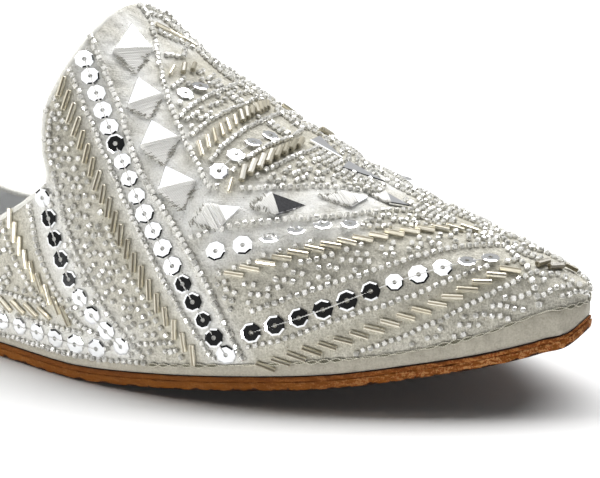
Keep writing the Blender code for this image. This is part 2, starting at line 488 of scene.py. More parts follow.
def laid(x: Array, distance: Array, datum: Datum, slant: float, lift: float) -> Places:
    """Places on the chart, all lying at one slant to its x axis.

    Args:
        x: Places along the shoe.
        distance: Distances over the surface.
        datum: Where the distances start.
        slant: The slant, in radians.
        lift: Height over the surface.

    Returns:
        The places.
    """
    points, normal = CHART.lifted(x, distance, datum, lift)
    step = 0.3
    ahead, _ = CHART.lifted(
        x + step * math.cos(slant), distance + step * math.sin(slant), datum, lift
    )
    return Places(points, level_with(ahead - points, normal), normal, np.ones(len(points)))


def edge_line(samples: int = 400) -> tuple[Array, Array]:
    """x and height of the opening's edge, as a fine line from heel to tongue tip."""
    edge = np.array(OPENING_EDGE)
    knots = chord_lengths(edge)
    at = np.linspace(0.0, knots[-1], samples)
    return smooth_curve(knots, edge[:, 0], at), smooth_curve(knots, edge[:, 1], at)


def cloth_margin(points: Array) -> Array:
    """Distance of points in front of or below the opening's edge, seen from the side.

    It is negative inside the opening.
    """
    x, z = edge_line()
    turn = int(np.argmax(np.where(z < TONGUE_FOOT, x, -np.inf)))
    apart = np.hypot(points[:, None, 0] - x[None, :], points[:, None, 2] - z[None, :])
    nearest = apart.min(axis=1)
    collar = np.interp(points[:, 0], x[: turn + 1], z[: turn + 1])
    tongue = np.interp(points[:, 2], z[turn:], x[turn:])
    open_low = (points[:, 0] < x[turn]) & (points[:, 2] > collar) & (points[:, 2] <= z[turn])
    open_high = (points[:, 2] > z[turn]) & (points[:, 0] < tongue)
    return np.where(open_low | open_high, -nearest, nearest)


# Meshes


class Shape(NamedTuple):
    """Vertices and quads of a mesh."""

    points: Array
    faces: Array

    def with_outward_faces(self) -> "Shape":
        """The shape with its faces turned round if its volume is negative."""
        a, b, c, d = (self.points[self.faces[:, column]] for column in range(4))
        volume = np.sum(np.cross(a, b) * c) + np.sum(np.cross(a, c) * d)
        return self if volume > 0.0 else Shape(self.points, self.faces[:, ::-1])


def grid_faces(rows: int, columns: int, wrap: bool = False, close: bool = False) -> Array:
    """Quads of a grid whose rows lie one after another.

    Args:
        rows: Number of rows.
        columns: Number of points in a row.
        wrap: Whether each row is a closed ring.
        close: Whether the last row joins the first.

    Returns:
        Four indices a quad.
    """
    row = np.arange(rows if close else rows - 1)[:, None]
    column = np.arange(columns if wrap else columns - 1)[None, :]
    after = (column + 1) % columns
    above = (row + 1) % rows
    quads = np.stack(
        np.broadcast_arrays(
            row * columns + column,
            row * columns + after,
            above * columns + after,
            above * columns + column,
        ),
        axis=-1,
    )
    return quads.reshape(-1, 4)


def flipped(shape: Shape) -> Shape:
    """The shape's mirror image on the other side."""
    return Shape(shape.points * FLIP, shape.faces[:, ::-1])


def joined_shapes(shapes: list[Shape]) -> Shape:
    """Several shapes as one mesh."""
    counts = np.cumsum([0] + [len(shape.points) for shape in shapes[:-1]])
    faces = [shape.faces + start for shape, start in zip(shapes, counts)]
    return Shape(np.concatenate([shape.points for shape in shapes]), np.concatenate(faces))


def repeated(template: Shape, places: Places, size: Array | float = 1.0) -> Shape:
    """A copy of the template at each place, as one mesh.

    Args:
        template: The shape, with x along the place, y across it and z away from the surface.
        places: Where the copies go.
        size: Their scale, one for all or one each.

    Returns:
        The joined mesh.
    """
    axes = np.stack([places.along, places.across, places.normal], axis=1)
    count = len(places.centre)
    scale = np.broadcast_to(size, count)[:, None, None]
    points = places.centre[:, None, :] + scale * (template.points[None] @ axes)
    starts = len(template.points) * np.arange(count)[:, None, None]
    return Shape(points.reshape(-1, 3), (template.faces[None] + starts).reshape(-1, 4))


def tube(path: Array, radius: float, sides: int, closed: bool = False) -> Shape:
    """A round tube along a path: rings of radius r about each point, closed at its ends.

    Args:
        path: Points of its middle line.
        radius: Its radius.
        sides: Points round it.
        closed: Whether the path is a loop.

    Returns:
        The tube.
    """
    if closed:
        along = unit(np.roll(path, -1, axis=0) - np.roll(path, 1, axis=0))
    else:
        along = unit(np.gradient(path, axis=0))
    steep = np.abs(along[:, 2:]) > 0.9
    side = unit(np.cross(np.where(steep, [[1.0, 0.0, 0.0]], [[0.0, 0.0, 1.0]]), along))
    up = np.cross(along, side)
    turn = np.arange(sides)[None, :, None] * 2 * math.pi / sides
    rings = path[:, None] + radius * (np.cos(turn) * side[:, None] + np.sin(turn) * up[:, None])
    if not closed:
        first, last = (np.repeat(end, sides, axis=0)[None] for end in (path[:1], path[-1:]))
        rings = np.concatenate([first, rings, last])
    faces = grid_faces(len(rings), sides, wrap=True, close=closed)
    return Shape(rings.reshape(-1, 3), faces).with_outward_faces()


def turned_profile(profile: tuple, sides: int) -> Shape:
    """A ring made by turning a closed profile of (height, radius) pairs about the z axis."""
    height, radius = np.array(profile).T
    turn = np.arange(sides) * 2 * math.pi / sides
    points = np.stack(
        np.broadcast_arrays(
            np.cos(turn)[:, None] * radius, np.sin(turn)[:, None] * radius, height
        ),
        axis=-1,
    )
    faces = grid_faces(sides, len(profile), wrap=True, close=True)
    return Shape(points.reshape(-1, 3), faces).with_outward_faces()


def laid_along(shape: Shape) -> Shape:
    """The shape with its z axis laid along x."""
    x, y, z = shape.points.T
    return Shape(np.stack([z, y, -x], axis=1), shape.faces)


def glass_tube(half_profile: tuple) -> Shape:
    """A tube with its hole along x, from (x, radius) pairs of the half behind its middle."""
    front = tuple((-x, radius) for x, radius in half_profile[::-1])
    return laid_along(turned_profile(half_profile + front, 8))


def linked(name: str, data: bpy.types.ID) -> bpy.types.Object:
    """A new object of some data, in the scene."""
    made = bpy.data.objects.new(name, data)
    bpy.context.scene.collection.objects.link(made)
    return made


def points_of(made: bpy.types.Object) -> Array:
    """The points of an object's mesh, in millimetres."""
    flat = np.zeros(3 * len(made.data.vertices))
    made.data.vertices.foreach_get("co", flat)
    return flat.reshape(-1, 3) / MM


def carry(made: bpy.types.Object, name: str, values: Array) -> None:
    """Gives each point of an object's mesh a value that its finish reads."""
    layer = made.data.attributes.new(name, "FLOAT", "POINT")
    layer.data.foreach_set("value", values.astype(np.float32))


def put(
    name: str,
    shape: Shape,
    material: bpy.types.Material,
    smooth: bool = True,
    merge: float = 0.0,
) -> bpy.types.Object:
    """Makes the object of a shape, on the shoe's body.

    Args:
        name: The piece's name.
        shape: Its mesh, in millimetres.
        material: Its finish.
        smooth: Whether its faces are shaded smooth.
        merge: Distance in millimetres under which points are merged.

    Returns:
        The object.
    """
    points, faces = shape.points, shape.faces
    if merge > 0.0:
        keys = np.round(points / merge).astype(np.int64)
        _, first, index = np.unique(keys, axis=0, return_index=True, return_inverse=True)
        points, faces = points[first], index.reshape(-1)[faces]
    mesh = bpy.data.meshes.new(name)
    mesh.from_pydata((points * MM).tolist(), [], tidy_faces(faces))
    mesh.validate()
    mesh.polygons.foreach_set("use_smooth", np.full(len(mesh.polygons), smooth))
    mesh.materials.append(material)
    made = linked(name, mesh)
    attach(made, BODY)
    log.info("%s: %d faces", name, len(mesh.polygons))
    return made


def tidy_faces(faces: Array) -> list[tuple[int, ...]]:
    """The faces without repeated corners, and without those that have collapsed."""
    whole = (faces != np.roll(faces, 1, axis=1)).all(axis=1)
    kept = [tuple(face) for face in faces[whole].tolist()]
    short = (tuple(dict.fromkeys(face)) for face in faces[~whole].tolist())
    return kept + [face for face in short if len(face) > 2]


# Finishes


class Signal:
    """A number that varies over a surface, with arithmetic that adds Math nodes."""

    def __init__(self, net: "Network", socket: bpy.types.NodeSocket) -> None:
        """Wraps an output socket of a network."""
        self.net = net
        self.socket = socket

    def _with(self, operation: str, first: Any, second: Any) -> "Signal":
        """A Math node of two values."""
        node = self.net.node("ShaderNodeMath", {"operation": operation}, {0: first, 1: second})
        return Signal(self.net, node.outputs[0])

    def __add__(self, other: Any) -> "Signal":
        """self + other."""
        return self._with("ADD", self, other)

    def __radd__(self, other: Any) -> "Signal":
        """other + self."""
        return self._with("ADD", other, self)

    def __sub__(self, other: Any) -> "Signal":
        """self - other."""
        return self._with("SUBTRACT", self, other)

    def __rsub__(self, other: Any) -> "Signal":
        """other - self."""
        return self._with("SUBTRACT", other, self)

    def __mul__(self, other: Any) -> "Signal":
        """self * other."""
        return self._with("MULTIPLY", self, other)

    def __rmul__(self, other: Any) -> "Signal":
        """other * self."""
        return self._with("MULTIPLY", other, self)

    def clamped(self) -> "Signal":
        """The value kept between 0 and 1."""
        node = self.net.node("ShaderNodeClamp", {}, {"Value": self})
        return Signal(self.net, node.outputs[0])

    def above(self, level: Any, width: float) -> "Signal":
        """0 below a level, 1 above it, with a soft step of a width between."""
        return ((self - level) * (1.0 / width) + 0.5).clamped()


Colour = Triple
# The scale at which a wave texture has one ridge a unit of length
WAVES_A_UNIT = 0.314


class Network:
    """The nodes of one material, on the Principled shader."""

    def __init__(self, name: str) -> None:
        """Starts a material with its Principled shader."""
        self.material = bpy.data.materials.new(name)
        self.material.use_nodes = True
        self.tree = self.material.node_tree
        self.shader = self.tree.nodes["Principled BSDF"]
        self.place = self.tree.nodes.new("ShaderNodeTexCoord").outputs["Object"]

    def node(
        self, kind: str, settings: dict[str, Any] | None = None, inputs: dict | None = None
    ) -> bpy.types.Node:
        """Adds a node.

        Args:
            kind: Its type.
            settings: Its own settings, which are set first.
            inputs: Values or links of its sockets, by name or index.

        Returns:
            The node.
        """
        made = self.tree.nodes.new(kind)
        for name, value in (settings or {}).items():
            setattr(made, name, value)
        for key, value in (inputs or {}).items():
            self.feed(made.inputs[key], value)
        return made

    def feed(self, socket: bpy.types.NodeSocket, value: Any) -> None:
        """Links a signal or a socket to a socket, or sets its value."""
        value = value.socket if isinstance(value, Signal) else value
        if isinstance(value, bpy.types.NodeSocket):
            self.tree.links.new(value, socket)
        else:
            opaque = socket.type == "RGBA" and isinstance(value, tuple)
            socket.default_value = (*value, 1.0) if opaque else value

    def set(self, **sockets: Any) -> None:
        """Sets or links the shader's sockets; an underscore stands for a space."""
        for name, value in sockets.items():
            self.feed(self.shader.inputs[name.replace("_", " ")], value)

    def mapped(self, scale: Triple, turn: Triple = (0.0, 0.0, 0.0)) -> bpy.types.NodeSocket:
        """The object's coordinates turned and scaled along each axis."""
        node = self.node(
            "ShaderNodeMapping", {}, {"Vector": self.place, "Scale": scale, "Rotation": turn}
        )
        return node.outputs[0]

    def noise(
        self, size: float, detail: float, place: bpy.types.NodeSocket | None = None
    ) -> Signal:
        """Noise whose blobs are about a size in millimetres."""
        inputs = {"Vector": place or self.place, "Scale": 1.0 / (size * MM), "Detail": detail}
        return Signal(self, self.node("ShaderNodeTexNoise", {}, inputs).outputs[0])

    def cells(self, size: float) -> Signal:
        """Distance to the nearest of scattered points, whose cells have a size in mm."""
        inputs = {"Vector": self.place, "Scale": 1.0 / (size * MM)}
        return Signal(self, self.node("ShaderNodeTexVoronoi", {}, inputs).outputs["Distance"])

    def wave(self, size: float, axis: str, distortion: float) -> Signal:
        """Even ridges of a size in millimetres across an axis."""
        inputs = {"Vector": self.place, "Scale": WAVES_A_UNIT / (size * MM), "Detail": 1.0}
        inputs["Distortion"] = distortion
        node = self.node("ShaderNodeTexWave", {"bands_direction": axis}, inputs)
        return Signal(self, node.outputs["Fac"])

    def own(self, name: str) -> Signal:
        """A value that the mesh carries at its points."""
        node = self.node("ShaderNodeAttribute", {"attribute_name": name})
        return Signal(self, node.outputs["Fac"])

    def mix(self, share: Signal, first: Any, second: Any) -> bpy.types.NodeSocket:
        """A colour between two colours."""
        node = self.node("ShaderNodeMix", {"data_type": "RGBA"}, {0: share, 6: first, 7: second})
        return node.outputs[2]

    def bump(self, height: Signal, depth: float, below: Any = None) -> bpy.types.NodeSocket:
        """A normal from a height whose full range is a depth in millimetres, over another."""
        node = self.node("ShaderNodeBump", {}, {"Height": height, "Distance": depth * MM})
        if below is not None:
            self.feed(node.inputs["Normal"], below)
        return node.outputs[0]


@dataclass(frozen=True)
class Cloth:
    """Closely woven silver-cream cloth: fine threads, cloudy tones, puckers and rusty specks."""

    name: str
    light: Colour
    dark: Colour
    thread: float = 0.33
    relief: float = 0.22
    pucker: float = 1.0
    speck: Colour = (0.20, 0.14, 0.09)
    specks: float = 0.85
    # The next colour is painted shade: the cloth darkens and yellows round bugles and mirror fans.
    painted_shade_colour: Colour = (0.48, 0.45, 0.345)
    # The next colour is painted light: the cloth brightens round sequins and mirrors.
    painted_light: Colour = (0.92, 0.92, 0.895)
    sheen: float = 0.2
    roughness: float = 0.62

    def material(self) -> bpy.types.Material:
        """The finish as a material, on a mesh that may carry its places of painted shade and of painted
        light.
        """
        net = Network(self.name)
        warp = net.wave(self.thread, "X", 1.2)
        weft = net.wave(self.thread, "Z", 1.2)
        weave = warp * weft
        fibre = net.noise(0.42, 3.0)
        cloud = net.noise(5.0, 3.0)
        folds = net.noise(3.2, 1.0)
        tone = (0.7 * cloud + 2.3 * fibre + 0.05 * weave - 1.0).clamped()
        spot = (1.0 - net.cells(1.6)).above(0.92, 0.04) * self.specks
        # Painted shade: darker, yellower cloth round the bugles and mirror fans, standing in for their
        # shadow.
        painted_shade = (net.own("painted_shade") * (0.4 + cloud)).clamped() * 0.5
        # Painted light: lighter cloth round sequins and mirrors, standing in for light on the vamp and
        # tongue.
        painted_light = (net.own("painted_light") * (0.4 + fibre)).clamped()
        body = net.mix(painted_shade, net.mix(tone, self.dark, self.light), self.painted_shade_colour)
        woven = net.bump(0.25 * weave + fibre, self.relief)
        net.set(
            Base_Color=net.mix(spot, net.mix(painted_light, body, self.painted_light), self.speck),
            Roughness=self.roughness + 0.15 * fibre,
            Sheen_Weight=self.sheen,
            Sheen_Roughness=0.4,
            Normal=net.bump(folds, self.pucker, below=woven),
        )
        return net.material


@dataclass(frozen=True)
class Leather:
    """Raw tanned leather: fibrous, redder at the toe, torn along its lower edge, and dark there and along
    its top edge, partly dark torn leather and partly painted shade.
    """

    name: str
    dark: Colour
    middle: Colour
    light: Colour
    red: Colour = (0.25, 0.06, 0.012)
    # The edges' dark colour: partly dark torn leather, partly painted shade at the sole's foot and under
    # the band.
    burnt_and_shade: Colour = (0.035, 0.014, 0.007)
    fibres: float = 0.12
    roughness: float = 0.72

    def material(self) -> bpy.types.Material:
        """The finish as a material, on a mesh that carries its rise over the underside and toe."""
        net = Network(self.name)
        rise, toe = net.own("rise"), net.own("toe")
        layers = net.noise(1.0, 4.0, net.mapped((0.2, 0.3, 1.4)))
        patches = net.noise(9.0, 3.0)
        pores = net.noise(0.4, 3.0)
        strands = net.noise(0.7, 4.0, net.mapped((0.35, 0.35, 1.0), (0.0, -0.35, 0.0)))
        torn = net.noise(2.4, 4.0)
        tone = (0.6 * layers + 0.6 * patches - 0.1).clamped()
        body = net.mix(tone.above(0.45, 0.4), self.dark, self.middle)
        ruddy = net.mix(toe * strands.above(0.48, 0.2), body, self.red)
        lit = (strands * pores).above(0.30 - 0.03 * toe, 0.08) * (self.fibres + 0.6 * toe)
        fibrous = net.mix(lit.clamped(), ruddy, self.light)
        # Painted shade, partly real dark torn leather: the lower edge and the top edge under the band are
        # darkened.
        low_edge = (0.9 * torn - 0.32 - rise).above(0.03, 0.05)
        top_edge = (rise + 0.05 * torn + 0.1 * toe * torn).above(0.985, 0.02)
        edges = (low_edge + top_edge).clamped()
        net.set(
            Base_Color=net.mix(edges, fibrous, self.burnt_and_shade),
            Roughness=self.roughness + 0.2 * (pores - 0.5),
            Specular_IOR_Level=0.12,
            Normal=net.bump(0.6 * layers + 0.4 * pores + strands * toe, 0.4),
        )
        return net.material


@dataclass(frozen=True)
class Lining:
    """Smooth matt lining with a faint grain."""

    name: str
    colour: Colour
    deep: Colour
    roughness: float = 0.7

    def material(self) -> bpy.types.Material:
        """The finish as a material."""
        net = Network(self.name)
        grain = net.cells(0.7)
        cloud = net.noise(14.0, 2.0)
        net.set(
            Base_Color=net.mix((0.5 * cloud + 0.3 * grain + 0.2).clamped(), self.deep, self.colour),
            Roughness=self.roughness + 0.1 * (cloud - 0.5),
            Normal=net.bump(grain, 0.05),
        )
        return net.material


@dataclass(frozen=True)
class Glass:
    """Silver-lined glass or metal of a bead: bright, with a tone of its own in each bead. On a mirror the
    tone is a painted reflection, grey or black, and a bugle's stripe is a painted dark reflection along
    its top.
    """

    name: str
    light: Colour
    dark: Colour
    metal: float = 0.8
    roughness: float = 0.14
    spread: float = 0.12
    coat: float = 0.6
    grain: float = 0.02
    clear: float = 0.0
    depth: float = 0.9
    coat_index: float = 1.5
    painted_reflection_stripe: Colour | None = None

    def material(self) -> bpy.types.Material:
        """The finish as a material."""
        net = Network(self.name)
        tone = net.own("tone")
        fine = net.noise(0.45, 2.0)
        colour = net.mix((0.8 * tone + 0.3 * fine).clamped(), self.dark, self.light)
        # Painted reflection: a dark stripe along each bugle's top, standing in for the dark room it faces.
        if self.painted_reflection_stripe:
            colour = net.mix(net.own("painted_reflection_stripe").above(0.45, 0.5), colour, self.painted_reflection_stripe)
        net.set(
            Base_Color=colour,
            Metallic=self.metal,
            Roughness=(self.roughness + self.spread * fine * tone).clamped(),
            Coat_Weight=self.coat,
            Coat_Roughness=0.03,
            Coat_IOR=self.coat_index,
            Subsurface_Weight=self.clear,
            Subsurface_Radius=(1.0, 1.0, 1.0),
            Subsurface_Scale=self.depth * MM,
            Normal=net.bump(fine, self.grain),
        )
        return net.material


@dataclass(frozen=True)
class Thread:
    """Twisted thread: fine slanting plies and a soft shine."""

    name: str
    light: Colour
    dark: Colour
    twist: float = 0.35
    roughness: float = 0.42
    relief: float = 0.08

    def material(self) -> bpy.types.Material:
        """The finish as a material."""
        net = Network(self.name)
        plies = net.wave(self.twist, "DIAGONAL", 1.5)
        fibre = net.noise(0.4, 2.0)
        net.set(
            Base_Color=net.mix((0.7 * plies + 0.4 * fibre).clamped(), self.dark, self.light),
            Roughness=self.roughness + 0.2 * fibre,
            Sheen_Weight=0.3,
            Normal=net.bump(plies + 0.5 * fibre, self.relief),
        )
        return net.material


@dataclass(frozen=True)
class Floor:
    """Plain pale studio floor."""

    name: str = "pale_floor"
    colour: Colour = (0.93, 0.93, 0.93)

    def material(self) -> bpy.types.Material:
        """The finish as a material."""
        net = Network(self.name)
        net.set(
            Base_Color=self.colour,
            Roughness=0.9,
            Specular_IOR_Level=0.0,
            Normal=net.bump(net.noise(3.0, 2.0), 0.01),
        )
        return net.material


# Sub-assemblies


def soft_noise(at: Array, seed: int, waves: int = 24, shortest: float = 2.0) -> Array:
    """Smooth random values between about -1 and 1: a sum of sines of random length and start.

    Args:
        at: Places, in millimetres.
        seed: Which of the random curves.
        waves: Number of sines.
        shortest: Shortest wave, in millimetres.

    Returns:
        A value for each place.
    """
    random = np.random.default_rng(seed)
    length = shortest * 2.0 ** random.uniform(0.0, 3.5, waves)
    start = random.uniform(0.0, 2 * math.pi, waves)
    size = np.sqrt(length / length.max())
    total = np.sin(2 * math.pi * at[..., None] / length + start) * size
    return total.sum(axis=-1) / size.sum() * 2.4


@dataclass(frozen=True)
class Sole:
    """The two leather layers under the upper, with their rough cut edges."""

    stations: int = 900
    thickness: float = 3.2
    toe_from: float = 62.0
    toe_over: float = 45.0
    far_wear: float = 1000.0
    leather: Leather = Leather(
        "tan_sole_leather", (0.14, 0.040, 0.005), (0.24, 0.080, 0.010), (0.56, 0.29, 0.11)
    )
    layer: Leather = Leather(
        "sole_layer_leather", (0.12, 0.033, 0.005), (0.20, 0.062, 0.008), (0.48, 0.22, 0.07)
    )

    def slab(self, profile: tuple, wear: float, seed: int) -> Shape:
        """A layer of the sole: a profile of (inset, height) pairs carried round the outline.

        Args:
            profile: Pairs from the middle of the underside to the middle of the top.
            wear: How far the cut edge strays, in millimetres.
            seed: Which of the random edges.

        Returns:
            The closed layer.
        """
        share = np.linspace(0.0, 1.0, self.stations)
        girth = FORM.girth * (0.5 * share + 0.25 * (1.0 - np.cos(math.pi * share)))
        inset, height = np.array(profile).T
        sides = []
        for side in (1.0, -1.0):
            at = girth if side > 0.0 else self.far_wear - girth
            rough = np.stack(
                [soft_noise(at, seed + step, shortest=1.4) for step in range(len(profile))], axis=1
            )
            fade = np.exp(-(((inset - 0.2) / 1.2) ** 2))
            moved = inset + wear * rough * fade
            x, half_width = FORM.outline(girth[:, None], moved)
            half_width[[0, -1]] = 0.0
            lift = 0.5 * wear * np.roll(rough, 1, axis=1) * fade * (height > 0.6)
            z = FORM.spring(x) + height + lift
            sides.append(np.stack(np.broadcast_arrays(x, -side * half_width, z), axis=-1))
        for end in (0, -1):
            sides[1][end] = sides[0][end]
        ring = np.concatenate([sides[0], sides[1][:, ::-1]], axis=1)
        faces = grid_faces(len(ring), ring.shape[1], wrap=True)
        return Shape(ring.reshape(-1, 3), faces).with_outward_faces()

    def mark(self, layer: bpy.types.Object) -> None:
        """Gives a layer's points their rise over the underside and their nearness to the toe."""
        points = points_of(layer)
        rise = (points[:, 2] - FORM.spring(points[:, 0])) / self.thickness
        carry(layer, "rise", rise)
        carry(layer, "toe", np.clip((points[:, 0] - self.toe_from) / self.toe_over, 0.0, 1.0))

    def build(self) -> None:
        """Makes both layers in place of their solids."""
        under = (
            (26.0, 0.0), (12.0, 0.0), (4.0, 0.0), (1.2, 0.0), (0.5, 0.03), (0.2, 0.16),
            (0.05, 0.45), (0.0, 0.95), (0.03, 1.5), (0.07, 1.85), (0.14, 1.98), (1.5, 2.0),
            (12.0, 2.0), (26.0, 2.0),
        )
        over = (
            (26.0, 2.03), (12.0, 2.03), (2.0, 2.03), (0.24, 2.04), (0.16, 2.12), (0.14, 2.5),
            (0.2, 2.8), (0.3, 3.0), (0.6, 3.15), (1.4, 3.2), (6.0, 3.2), (26.0, 3.2),
        )
        outsole = put(
            "outsole_leather", self.slab(under, wear=0.16, seed=11), self.leather.material(),
            merge=0.002,
        )
        self.mark(outsole)
        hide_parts("outsole")
        midsole = put(
            "midsole_leather", self.slab(over, wear=0.12, seed=57), self.layer.material(),
            merge=0.002,
        )
        self.mark(midsole)
        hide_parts("midsole")


@dataclass(frozen=True)
class Upper:
    """The cloth shell with its grey lining, folded foot band and bound edge."""

    stations: int = 300
    rings: int = 52
    cloth_lift: float = 0.3
    wall: float = 1.6
    rear_blend: float = 12.0
    rear_top: float = 60.0
    cutter_top: float = 130.0
    cutter_half: float = 60.0
    binding_fold: float = 0.12
    band_lift: float = 0.25
    band_swell: float = 0.35
    band_tuck: float = 0.2
    cloth: Cloth = Cloth("silver_cream_cloth", (0.76, 0.735, 0.65), (0.36, 0.34, 0.27))
    plain: Cloth = Cloth(
        "plain_cream_cloth", (0.51, 0.48, 0.40), (0.37, 0.34, 0.27),
        thread=0.28, relief=0.06, pucker=0.9, specks=0.5,
    )
    edge: Cloth = Cloth(
        "edge_cloth", (0.86, 0.85, 0.80), (0.70, 0.69, 0.63),
        thread=0.28, relief=0.06, pucker=0.3, specks=0.2,
    )
    lining: Lining = Lining("grey_lining", (0.80, 0.81, 0.80), (0.72, 0.73, 0.72))

    def shell(self) -> Shape:
        """The near half and its mirror image, from the sole to the ridge."""
        share = np.linspace(0.0, 1.0, self.stations)
        girth = FORM.girth * (0.75 * share + 0.125 * (1.0 - np.cos(math.pi * share)))
        here = FORM.station(girth)
        rear = np.clip(-here.x / self.rear_blend, 0.0, 1.0)
        top = rear * FORM.angle_at(girth, np.full(len(girth), self.rear_top))
        step = FORM.angle_at(girth, here.margin)
        lower = HALF_PI + (step - HALF_PI)[:, None] * np.linspace(0.0, 1.0, 7)[None, :-1]
        upper = step[:, None] + (top - step)[:, None] * np.linspace(0.0, 1.0, self.rings)[None, :]
        angle = np.concatenate([lower, upper], axis=1)
        girths = np.broadcast_to(girth[:, None], angle.shape)
        lift = np.where(np.arange(angle.shape[1]) < 6, 0.0, self.cloth_lift)
        lift = lift[None, :, None] * np.ones((len(girth), 1, 1))
        points = FORM.surface(girths, angle) + lift * FORM.normal(girths, angle)
        points[..., 1] = np.minimum(points[..., 1], 0.0)
        points[[0, -1], :, 1] = 0.0
        points[top == 0.0, -1, 1] = 0.0
        near = Shape(points.reshape(-1, 3), grid_faces(*points.shape[:2]))
        return joined_shapes([near, flipped(near)])

    def cutter(self) -> bpy.types.Object:
        """A block over collar and tongue, whose underside follows the opening's edge."""
        x, z = edge_line()
        x, z = np.append(x, [x[-1], x[0]]), np.append(z, [self.cutter_top] * 2)
        count = len(x)
        outline = np.stack([x, np.zeros(count), z], axis=1)
        aside = np.array([0.0, self.cutter_half, 0.0])
        points = np.concatenate([outline - aside, outline + aside])
        ring = [tuple(face) for face in grid_faces(2, count, wrap=True).tolist()]
        caps = [tuple(range(count))[::-1], tuple(range(count, 2 * count))]
        mesh = bpy.data.meshes.new("opening_cutter")
        mesh.from_pydata((points * MM).tolist(), [], ring + caps)
        made = linked("opening_cutter", mesh)
        if mesh.polygons[count - 2].normal[2] < 0.0:
            mesh.flip_normals()
        return made

    def build_shell(self) -> None:
        """Thickens the shell inwards, cuts its opening, and puts it in the solid's place."""
        shape = self.shell()
        made = put("upper_cloth", shape, self.cloth.material(), merge=0.01)
        made.data.materials.append(self.lining.material())
        wall = made.modifiers.new("wall", "SOLIDIFY")
        wall.thickness = self.wall * MM
        wall.offset = -1.0
        wall.material_offset = 1
        cutter = self.cutter()
        opening = made.modifiers.new("opening", "BOOLEAN")
        opening.operation = "DIFFERENCE"
        opening.solver = "EXACT"
        opening.object = cutter
        graph = bpy.context.evaluated_depsgraph_get()
        finished = bpy.data.meshes.new_from_object(made.evaluated_get(graph))
        made.modifiers.clear()
        made.data = finished
        bpy.data.objects.remove(cutter, do_unlink=True)
        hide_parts("upper")

    def edge_path(self, lift: float) -> Array:
        """The opening's edge on the near side, from the back of the heel to the tongue's tip."""
        x, z = edge_line()
        girths = CHART.girth[::-1]
        station_x = CHART.x[::-1]
        keep = (x > station_x[0]) & (z < FORM.instep_height)
        x, z = x[keep], z[keep]
        girth = np.interp(x, station_x, girths)
        for _ in range(4):
            height = z - FORM.seat - FORM.spring(x)
            angle = FORM.angle_at(girth, height)
            girth = girth + (FORM.surface(girth, angle)[:, 0] - x) * 0.9
            girth = np.clip(girth, 0.05, FORM.girth - 0.01)
        angle = FORM.angle_at(girth, z - FORM.seat - FORM.spring(x))
        points = FORM.surface(girth, angle) + lift * FORM.normal(girth, angle)
        return points[angle > 0.02]

    def build_edge(self) -> None:
        """Binds the opening's edge with a folded strip of the plain cloth."""
        near = self.edge_path(self.cloth_lift - 0.5 * self.wall)
        near[[0, -1], 1] = 0.0
        loop = np.concatenate([near, near[-2::-1] * FLIP])
        length = chord_lengths(loop)
        even = read_off(np.linspace(0.0, length[-1], 700)[:-1], length, loop)
        binding = tube(even, 0.5 * self.wall + self.binding_fold, sides=10, closed=True)
        put("edge_binding", binding, self.edge.material())

    def build_band(self) -> None:
        """The plain folded band between sole and embroidery."""
        share = np.linspace(0.0, 1.0, 700)
        girth = FORM.girth * (0.6 * share + 0.2 * (1.0 - np.cos(math.pi * share)))
        here = FORM.station(girth)
        rise = np.linspace(0.0, 1.0, 9)
        height = here.margin[:, None] * rise[None, :]
        angle = FORM.angle_at(girth[:, None], height)
        bow = np.sin(math.pi * np.clip(0.15 + 0.8 * rise, 0, 1))
        swell = self.band_lift + self.band_swell * bow
        girths = np.broadcast_to(girth[:, None], angle.shape)
        outer = FORM.surface(girths, angle) + swell[None, :, None] * FORM.normal(girths, angle)
        inner = FORM.surface(girths, angle)[:, ::-1]
        outer[:, 0, 2] -= self.band_tuck
        ring = np.concatenate([outer, inner], axis=1)
        ring[..., 1] = np.minimum(ring[..., 1], 0.0)
        ring[[0, -1], :, 1] = 0.0
        near = Shape(ring.reshape(-1, 3), grid_faces(*ring.shape[:2], wrap=True))
        band = joined_shapes([near, flipped(near)]).with_outward_faces()
        put("foot_band", band, self.plain.material(), merge=0.005)

    def build(self) -> None:
        """Makes the shell, its binding and its band."""
        self.build_shell()
        self.build_edge()
        self.build_band()


class Row(NamedTuple):
    """A row of trim on the upper.

    knots are chart places, pitch is the distance from piece to piece where no count is given,
    turn holds the angles of the first and last piece against the row in degrees, size is the
    pieces' scale, and lean how much higher single pieces face, in degrees.
    """

    datum: Datum
    knots: tuple
    pitch: float = 1.7
    count: int = 0
    turn: tuple[float, float] = (0.0, 0.0)
    size: float = 1.0
    lean: tuple[float, ...] = ()


RIDGE, SOLE = Datum.RIDGE, Datum.SOLE

SEQUIN_ROWS = (
    Row(
        RIDGE, ((12.2, 22.4), (22.9, 31.0), (35.2, 41.4), (46.1, 49.4), (57.4, 59.1)), count=18,
        lean=(0, 0, 0, 0, 0, -16, 0, 0, 0, 0, 2, 5, 7, 0, 5, 8, 11, 0),
    ),
    Row(
        SOLE, ((10.5, 35.4), (14.0, 28.35), (18.5, 20.25), (25.5, 12.0), (33.25, 5.4)), count=9,
        lean=(-10, 0.5, 2.5, 4, 5.5, -3, -3, 0, 0),
    ),
    Row(SOLE, ((27.0, 4.3), (16.4, 4.8), (-40.0, 4.8), (-124.5, 4.8)), count=30, size=1.05),
    Row(
        SOLE, ((62.6, 9.5), (75.6, 13.6), (88.7, 18.0), (105.1, 22.2)), count=11, size=1.03,
        lean=(8, 5, 3, 0, -2, -7, 4, 0, 3, 20, 14),
    ),
    Row(
        RIDGE, ((52.75, 39.65), (63.0, 30.6), (71.3, 21.5), (76.2, 17.5)), count=6,
        lean=(3, 4, 38, 30, 25, 18),
    ),
)
CREST_SEQUINS = (
    Row(RIDGE, ((47.4, 23.5), (49.0, 13.75), (50.5, 4.7)), count=4, lean=(0, 0, 13, 3)),
    Row(RIDGE, ((32.2, 10.6), (33.0, 5.6)), count=2, lean=(0, 16)),
)
